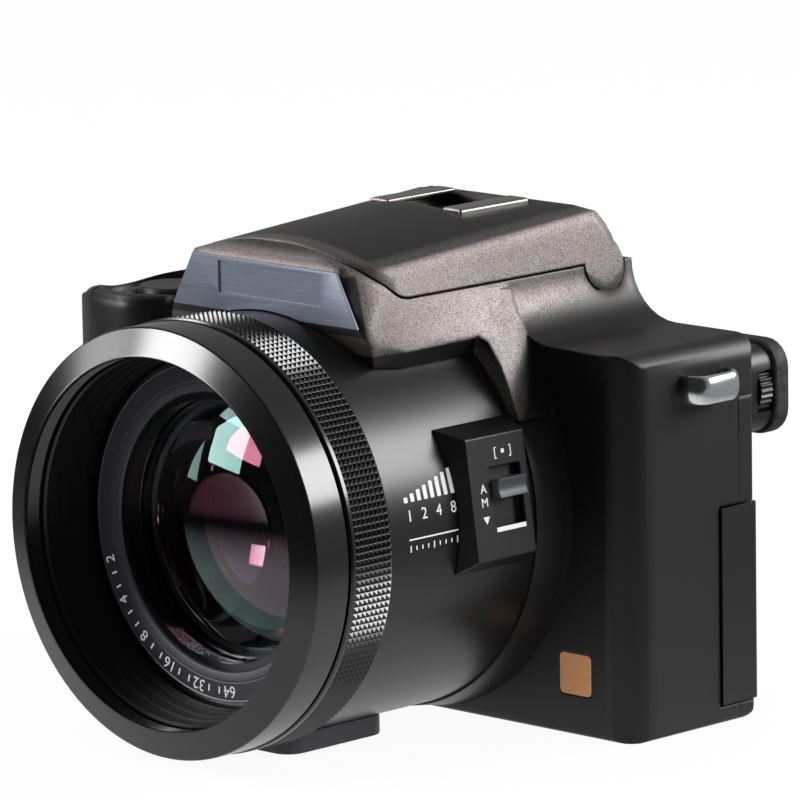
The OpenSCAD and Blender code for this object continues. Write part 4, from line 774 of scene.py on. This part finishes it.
barrel_marks = []
for step in range(BARS):
    height = BAR_LOW + BAR_GROWTH * step
    barrel_marks.append(on_barrel(bar(BAR_W, height), BAR_PITCH * step, BAR_ROW + height / 2 / BARREL_R))
for step, number in enumerate(BARREL_NUMBERS):
    barrel_marks.append(on_barrel(glyph(number, NUMBER_H), NUMBER_START + NUMBER_PITCH * step, NUMBER_ROW))
barrel_marks.append(on_barrel(bar(LINE_LENGTH, LINE_W), LINE_MIDDLE, LINE_ROW))
for step in range(TICKS):
    height = TICK_SHORT if step % TICKS_PER_LONG else TICK_LONG
    barrel_marks.append(on_barrel(bar(LINE_W, height), TICK_START + TICK_PITCH * step, TICK_ROW))
printed("barrel_scale", "body", barrel_marks)

# Marks of the focus switch: a frame with a dot, letters for its places, a pointer and a sill under the slot
PANEL_TILT = math.radians(8)
PANEL_R = 37.8
SIGN_H = 1.5
FRAME_ROW = 8.5
FRAME_MIDDLE = -16.3
FRAME_HALF = 1.8
FRAME_DOT = 0.7
LETTER_COLUMN = -21.7
A_ROW = 2.85
M_ROW = 0.6
POINTER_ROW = -2.1
POINTER_H = 1.7
SILL = (6.9, 0.75)
SILL_PLACE = (-16.1, -4.15)
panel_out = Vector((math.cos(PANEL_TILT), 0, math.sin(PANEL_TILT)))
panel_up = Vector((-panel_out.z, 0, panel_out.x))


def on_panel(mark, along, above):
    """Lays a mark on the switch panel's face."""
    at = Vector((LENS_X, FRONT_Y + along, LENS_Z)) + panel_out * PANEL_R + panel_up * above
    return laid(mark, at, (0, 1, 0), panel_up)


printed("switch_marks", "body", [
    on_panel(glyph("[", SIGN_H), FRAME_MIDDLE - FRAME_HALF, FRAME_ROW),
    on_panel(bar(FRAME_DOT, FRAME_DOT), FRAME_MIDDLE, FRAME_ROW),
    on_panel(glyph("]", SIGN_H), FRAME_MIDDLE + FRAME_HALF, FRAME_ROW),
    on_panel(glyph("A", SIGN_H), LETTER_COLUMN, A_ROW),
    on_panel(glyph("M", SIGN_H), LETTER_COLUMN, M_ROW),
    on_panel(pointer(POINTER_H), LETTER_COLUMN, POINTER_ROW),
    on_panel(bar(*SILL), *SILL_PLACE)])

# Plain numbers with ticks between them on the lower part of the ring in front of the glass
RING_PRINT_R = 26.5
RING_PRINT_FROM = math.radians(197)
RING_PRINT_STEP = math.radians(5.2)
RING_NUMBERS = ("2", "4", "8", "16", "32", "64")
RING_NUMBER_H = 2.0
RING_TICK = (0.3, 1.2)
TICKS_BETWEEN = 2
ring_front = corners("name_ring")[0].y
ring_marks = []
for place in range((len(RING_NUMBERS) - 1) * (TICKS_BETWEEN + 1) + 1):
    turn = RING_PRINT_FROM + RING_PRINT_STEP * place
    out = Vector((math.cos(turn), 0, math.sin(turn)))
    number, tick = divmod(place, TICKS_BETWEEN + 1)
    mark = bar(*RING_TICK) if tick else glyph(RING_NUMBERS[number], RING_NUMBER_H)
    at = Vector((LENS_X, ring_front, LENS_Z)) + out * RING_PRINT_R
    ring_marks.append(laid(mark, at, (out.z, 0, -out.x), out))
printed("name_ring_print", "zoom_front", ring_marks)

# Numbers on the mode dial, words at the power switch and signs on the back keys
DIAL_NUMBERS = "12345678"
DIAL_PRINT_R = 6.4
DIAL_NUMBER_H = 1.9
low, high = corners("mode_dial")
dial_marks = []
for step, number in enumerate(DIAL_NUMBERS):
    turn = FULL_TURN * step / len(DIAL_NUMBERS)
    out = Vector((math.cos(turn), math.sin(turn), 0))
    at = Vector(((low.x + high.x) / 2, (low.y + high.y) / 2, high.z)) + out * DIAL_PRINT_R
    dial_marks.append(laid(glyph(number, DIAL_NUMBER_H), at, (out.y, -out.x, 0), out))
printed("dial_numbers", "mode_dial", dial_marks)

DECK_Z = 66.3
WORD_H = 1.3
OFF_PLACE = (-46.3, 35.0, DECK_Z)
ON_PLACE = (-41.2, 35.0, DECK_Z)
DIAL_POINTER_H = 1.6
DIAL_POINTER_PLACE = (-37.0, 28.9, DECK_Z)
printed("deck_marks", "body", [
    laid(glyph("OFF", WORD_H), OFF_PLACE, (-1, 0, 0), (0, -1, 0)),
    laid(glyph("ON", WORD_H), ON_PLACE, (-1, 0, 0), (0, -1, 0)),
    laid(pointer(DIAL_POINTER_H), DIAL_POINTER_PLACE, (0, 1, 0), (-1, 0, 0))])

KEY_SIGN_H = 2.4
key_faces = {}
for key in ("arrow_up", "arrow_down", "arrow_left", "arrow_right"):
    low, high = corners(key)
    key_faces[key] = Vector(((low.x + high.x) / 2, high.y, (low.z + high.z) / 2))
pad_middle = sum(key_faces.values(), Vector()) / len(key_faces)
for key, face in key_faces.items():
    inward = (pad_middle - face).normalized()
    printed(key + "_sign", key, [laid(pointer(KEY_SIGN_H), face, inward.cross(Vector((0, 1, 0))), inward)])

# Camera, at the photograph's place
TURN = math.radians(44.295)
RISE = math.radians(10.564)
ROLL = math.radians(-0.922)
REACH = 1250.1
AIM = Vector((LENS_X, FRONT_Y, 40.0))
SHIFT_X = 2.164
SHIFT_Y = -12.185
FOCAL = 334.0
FILM_W = 36.0
NEAREST = 50.0
back = Vector((math.sin(TURN) * math.cos(RISE), -math.cos(TURN) * math.cos(RISE), math.sin(RISE)))
level_right = Vector((math.cos(TURN), math.sin(TURN), 0.0))
level_up = back.cross(level_right)
right = math.cos(ROLL) * level_right + math.sin(ROLL) * level_up
up = math.cos(ROLL) * level_up - math.sin(ROLL) * level_right
eye = AIM + REACH * back - SHIFT_X * right - SHIFT_Y * up
bpy.ops.object.camera_add(location=eye * MM, rotation=Matrix((right, up, back)).transposed().to_euler())
camera = bpy.context.object
camera.data.lens = FOCAL
camera.data.sensor_width = FILM_W
camera.data.clip_start = NEAREST * MM
bpy.context.scene.camera = camera

# Studio lamps: the way to each from the camera body, its width and height, and its glow
LAMP_AIM = Vector((LENS_X, FRONT_Y, 50.0))
LAMP_AWAY = 700
LAMPS = (("window_light", (0.55, 0.707, 0.40), 580, 240, 12.0),
         ("front_light", (-0.598, -0.756, 0.265), 200, 220, 17.0),
         ("side_light", (-0.82, -0.54, 0.17), 150, 240, 5.0),
         ("ceiling_light", (-0.687, -0.165, 0.685), 160, 160, 12.0))


def softbox(name, toward, width, height, glow):
    """A rectangular lamp in that direction from the camera body, glow times as bright as white paper."""
    place = LAMP_AIM + Vector(toward).normalized() * LAMP_AWAY
    bpy.ops.object.light_add(type="AREA", location=place * MM)
    lamp = bpy.context.object
    lamp.name = name
    lamp.data.shape = "RECTANGLE"
    lamp.data.size = width * MM
    lamp.data.size_y = height * MM
    lamp.data.energy = glow * math.pi * width * MM * height * MM
    lamp.rotation_euler = (place - LAMP_AIM).to_track_quat("Z", "Y").to_euler()


for lamp_row in LAMPS:
    softbox(*lamp_row)

# White paper behind and under the camera. In front of it the room is dark, which keeps black surfaces black,
# and the paper close to the lens shows in the barrel from below. Fades of the floor are in mm.
LIT_PAPER = 0.3
DARK_ROOM = 0.02
NEAR_PAPER = 0.8
NEAR_MIDDLE = Vector((LENS_X, -40.0, 0.0))
NEAR_FADE = (80, 200)
FLOOR_FADE = (-160, 20)
FLOOR_SIZE = 20000
FLOOR_WHITE = 0.94
WORLD_FADE = (-0.3, 0.4)
WORLD_GLOW = 0.9
ANY_BOUNCE = 0.5


def ray_kinds(tree):
    """Masks of the rays that have bounced off a glossy surface, and of those that see the paper as white:
    from the camera, or straight through something clear. A ray that bounced inside a lens leaves it as a
    transmission ray, so the count of glossy bounces tells it apart, and it sees the dark room."""
    rays = add(tree, "ShaderNodeLightPath").outputs
    bounced = add(tree, "ShaderNodeMath", {0: rays["Glossy Depth"], 1: ANY_BOUNCE}, operation="GREATER_THAN")
    bounced = bounced.outputs[0]
    through = add(tree, "ShaderNodeMath", {0: rays["Is Transmission Ray"], 1: bounced}, operation="SUBTRACT",
                  use_clamp=True).outputs[0]
    seen = add(tree, "ShaderNodeMath", {0: rays["Is Camera Ray"], 1: through}, operation="MAXIMUM").outputs[0]
    return bounced, seen


bpy.ops.mesh.primitive_plane_add(size=FLOOR_SIZE * MM)
floor = bpy.context.object
floor.name = "floor"
floor_paint = bpy.data.materials.new("white_paper_floor")
floor_paint.use_nodes = True
tree = floor_paint.node_tree
bounced, seen = ray_kinds(tree)
place = add(tree, "ShaderNodeTexCoord").outputs["Object"]
depth = add(tree, "ShaderNodeSeparateXYZ", {0: place}).outputs["Y"]
paper = add(tree, "ShaderNodeBsdfDiffuse", {"Color": colour("#e6e6e6")})
white = add(tree, "ShaderNodeEmission", {"Color": WHITE, "Strength": 1.0})
share = add(tree, "ShaderNodeMath", {0: seen, 1: FLOOR_WHITE}, operation="MULTIPLY")
direct = add(tree, "ShaderNodeMixShader", {0: share.outputs[0], 1: paper.outputs[0], 2: white.outputs[0]})
far_glow = add(tree, "ShaderNodeMapRange", {"Value": depth, "From Min": FLOOR_FADE[0] * MM,
                                            "From Max": FLOOR_FADE[1] * MM, "To Min": DARK_ROOM,
                                            "To Max": LIT_PAPER}, interpolation_type="SMOOTHSTEP")
far_paper = add(tree, "ShaderNodeEmission", {"Strength": far_glow.outputs["Result"]})
near_paper = add(tree, "ShaderNodeEmission", {"Color": WHITE, "Strength": NEAR_PAPER})
from_lens = add(tree, "ShaderNodeVectorMath", {0: place, 1: NEAR_MIDDLE * MM}, operation="DISTANCE")
near = add(tree, "ShaderNodeMapRange", {"Value": from_lens.outputs["Value"], "From Min": NEAR_FADE[0] * MM,
                                        "From Max": NEAR_FADE[1] * MM, "To Min": 1.0, "To Max": 0.0})
mirrored = add(tree, "ShaderNodeMixShader", {0: near.outputs["Result"], 1: far_paper.outputs[0],
                                             2: near_paper.outputs[0]})
mixed = add(tree, "ShaderNodeMixShader", {0: bounced, 1: direct.outputs[0], 2: mirrored.outputs[0]})
tree.links.new(mixed.outputs[0], tree.nodes["Material Output"].inputs["Surface"])
tree.nodes.remove(tree.nodes["Principled BSDF"])
paint(floor, floor_paint)

world = bpy.data.worlds.new("studio")
bpy.context.scene.world = world
world.use_nodes = True
tree = world.node_tree
bounced, seen = ray_kinds(tree)
place = add(tree, "ShaderNodeTexCoord").outputs["Generated"]
depth = add(tree, "ShaderNodeSeparateXYZ", {0: place}).outputs["Y"]
far_glow = add(tree, "ShaderNodeMapRange", {"Value": depth, "From Min": WORLD_FADE[0],
                                            "From Max": WORLD_FADE[1], "To Min": DARK_ROOM,
                                            "To Max": LIT_PAPER}, interpolation_type="SMOOTHSTEP")
glow = add(tree, "ShaderNodeMix", {0: bounced, 2: WORLD_GLOW, 3: far_glow.outputs["Result"]})
strength = add(tree, "ShaderNodeMath", {0: seen, 1: glow.outputs[0]}, operation="MAXIMUM")
background = tree.nodes["Background"].inputs
background["Color"].default_value = WHITE
tree.links.new(strength.outputs[0], background["Strength"])

bpy.context.scene.view_settings.view_transform = "Standard"
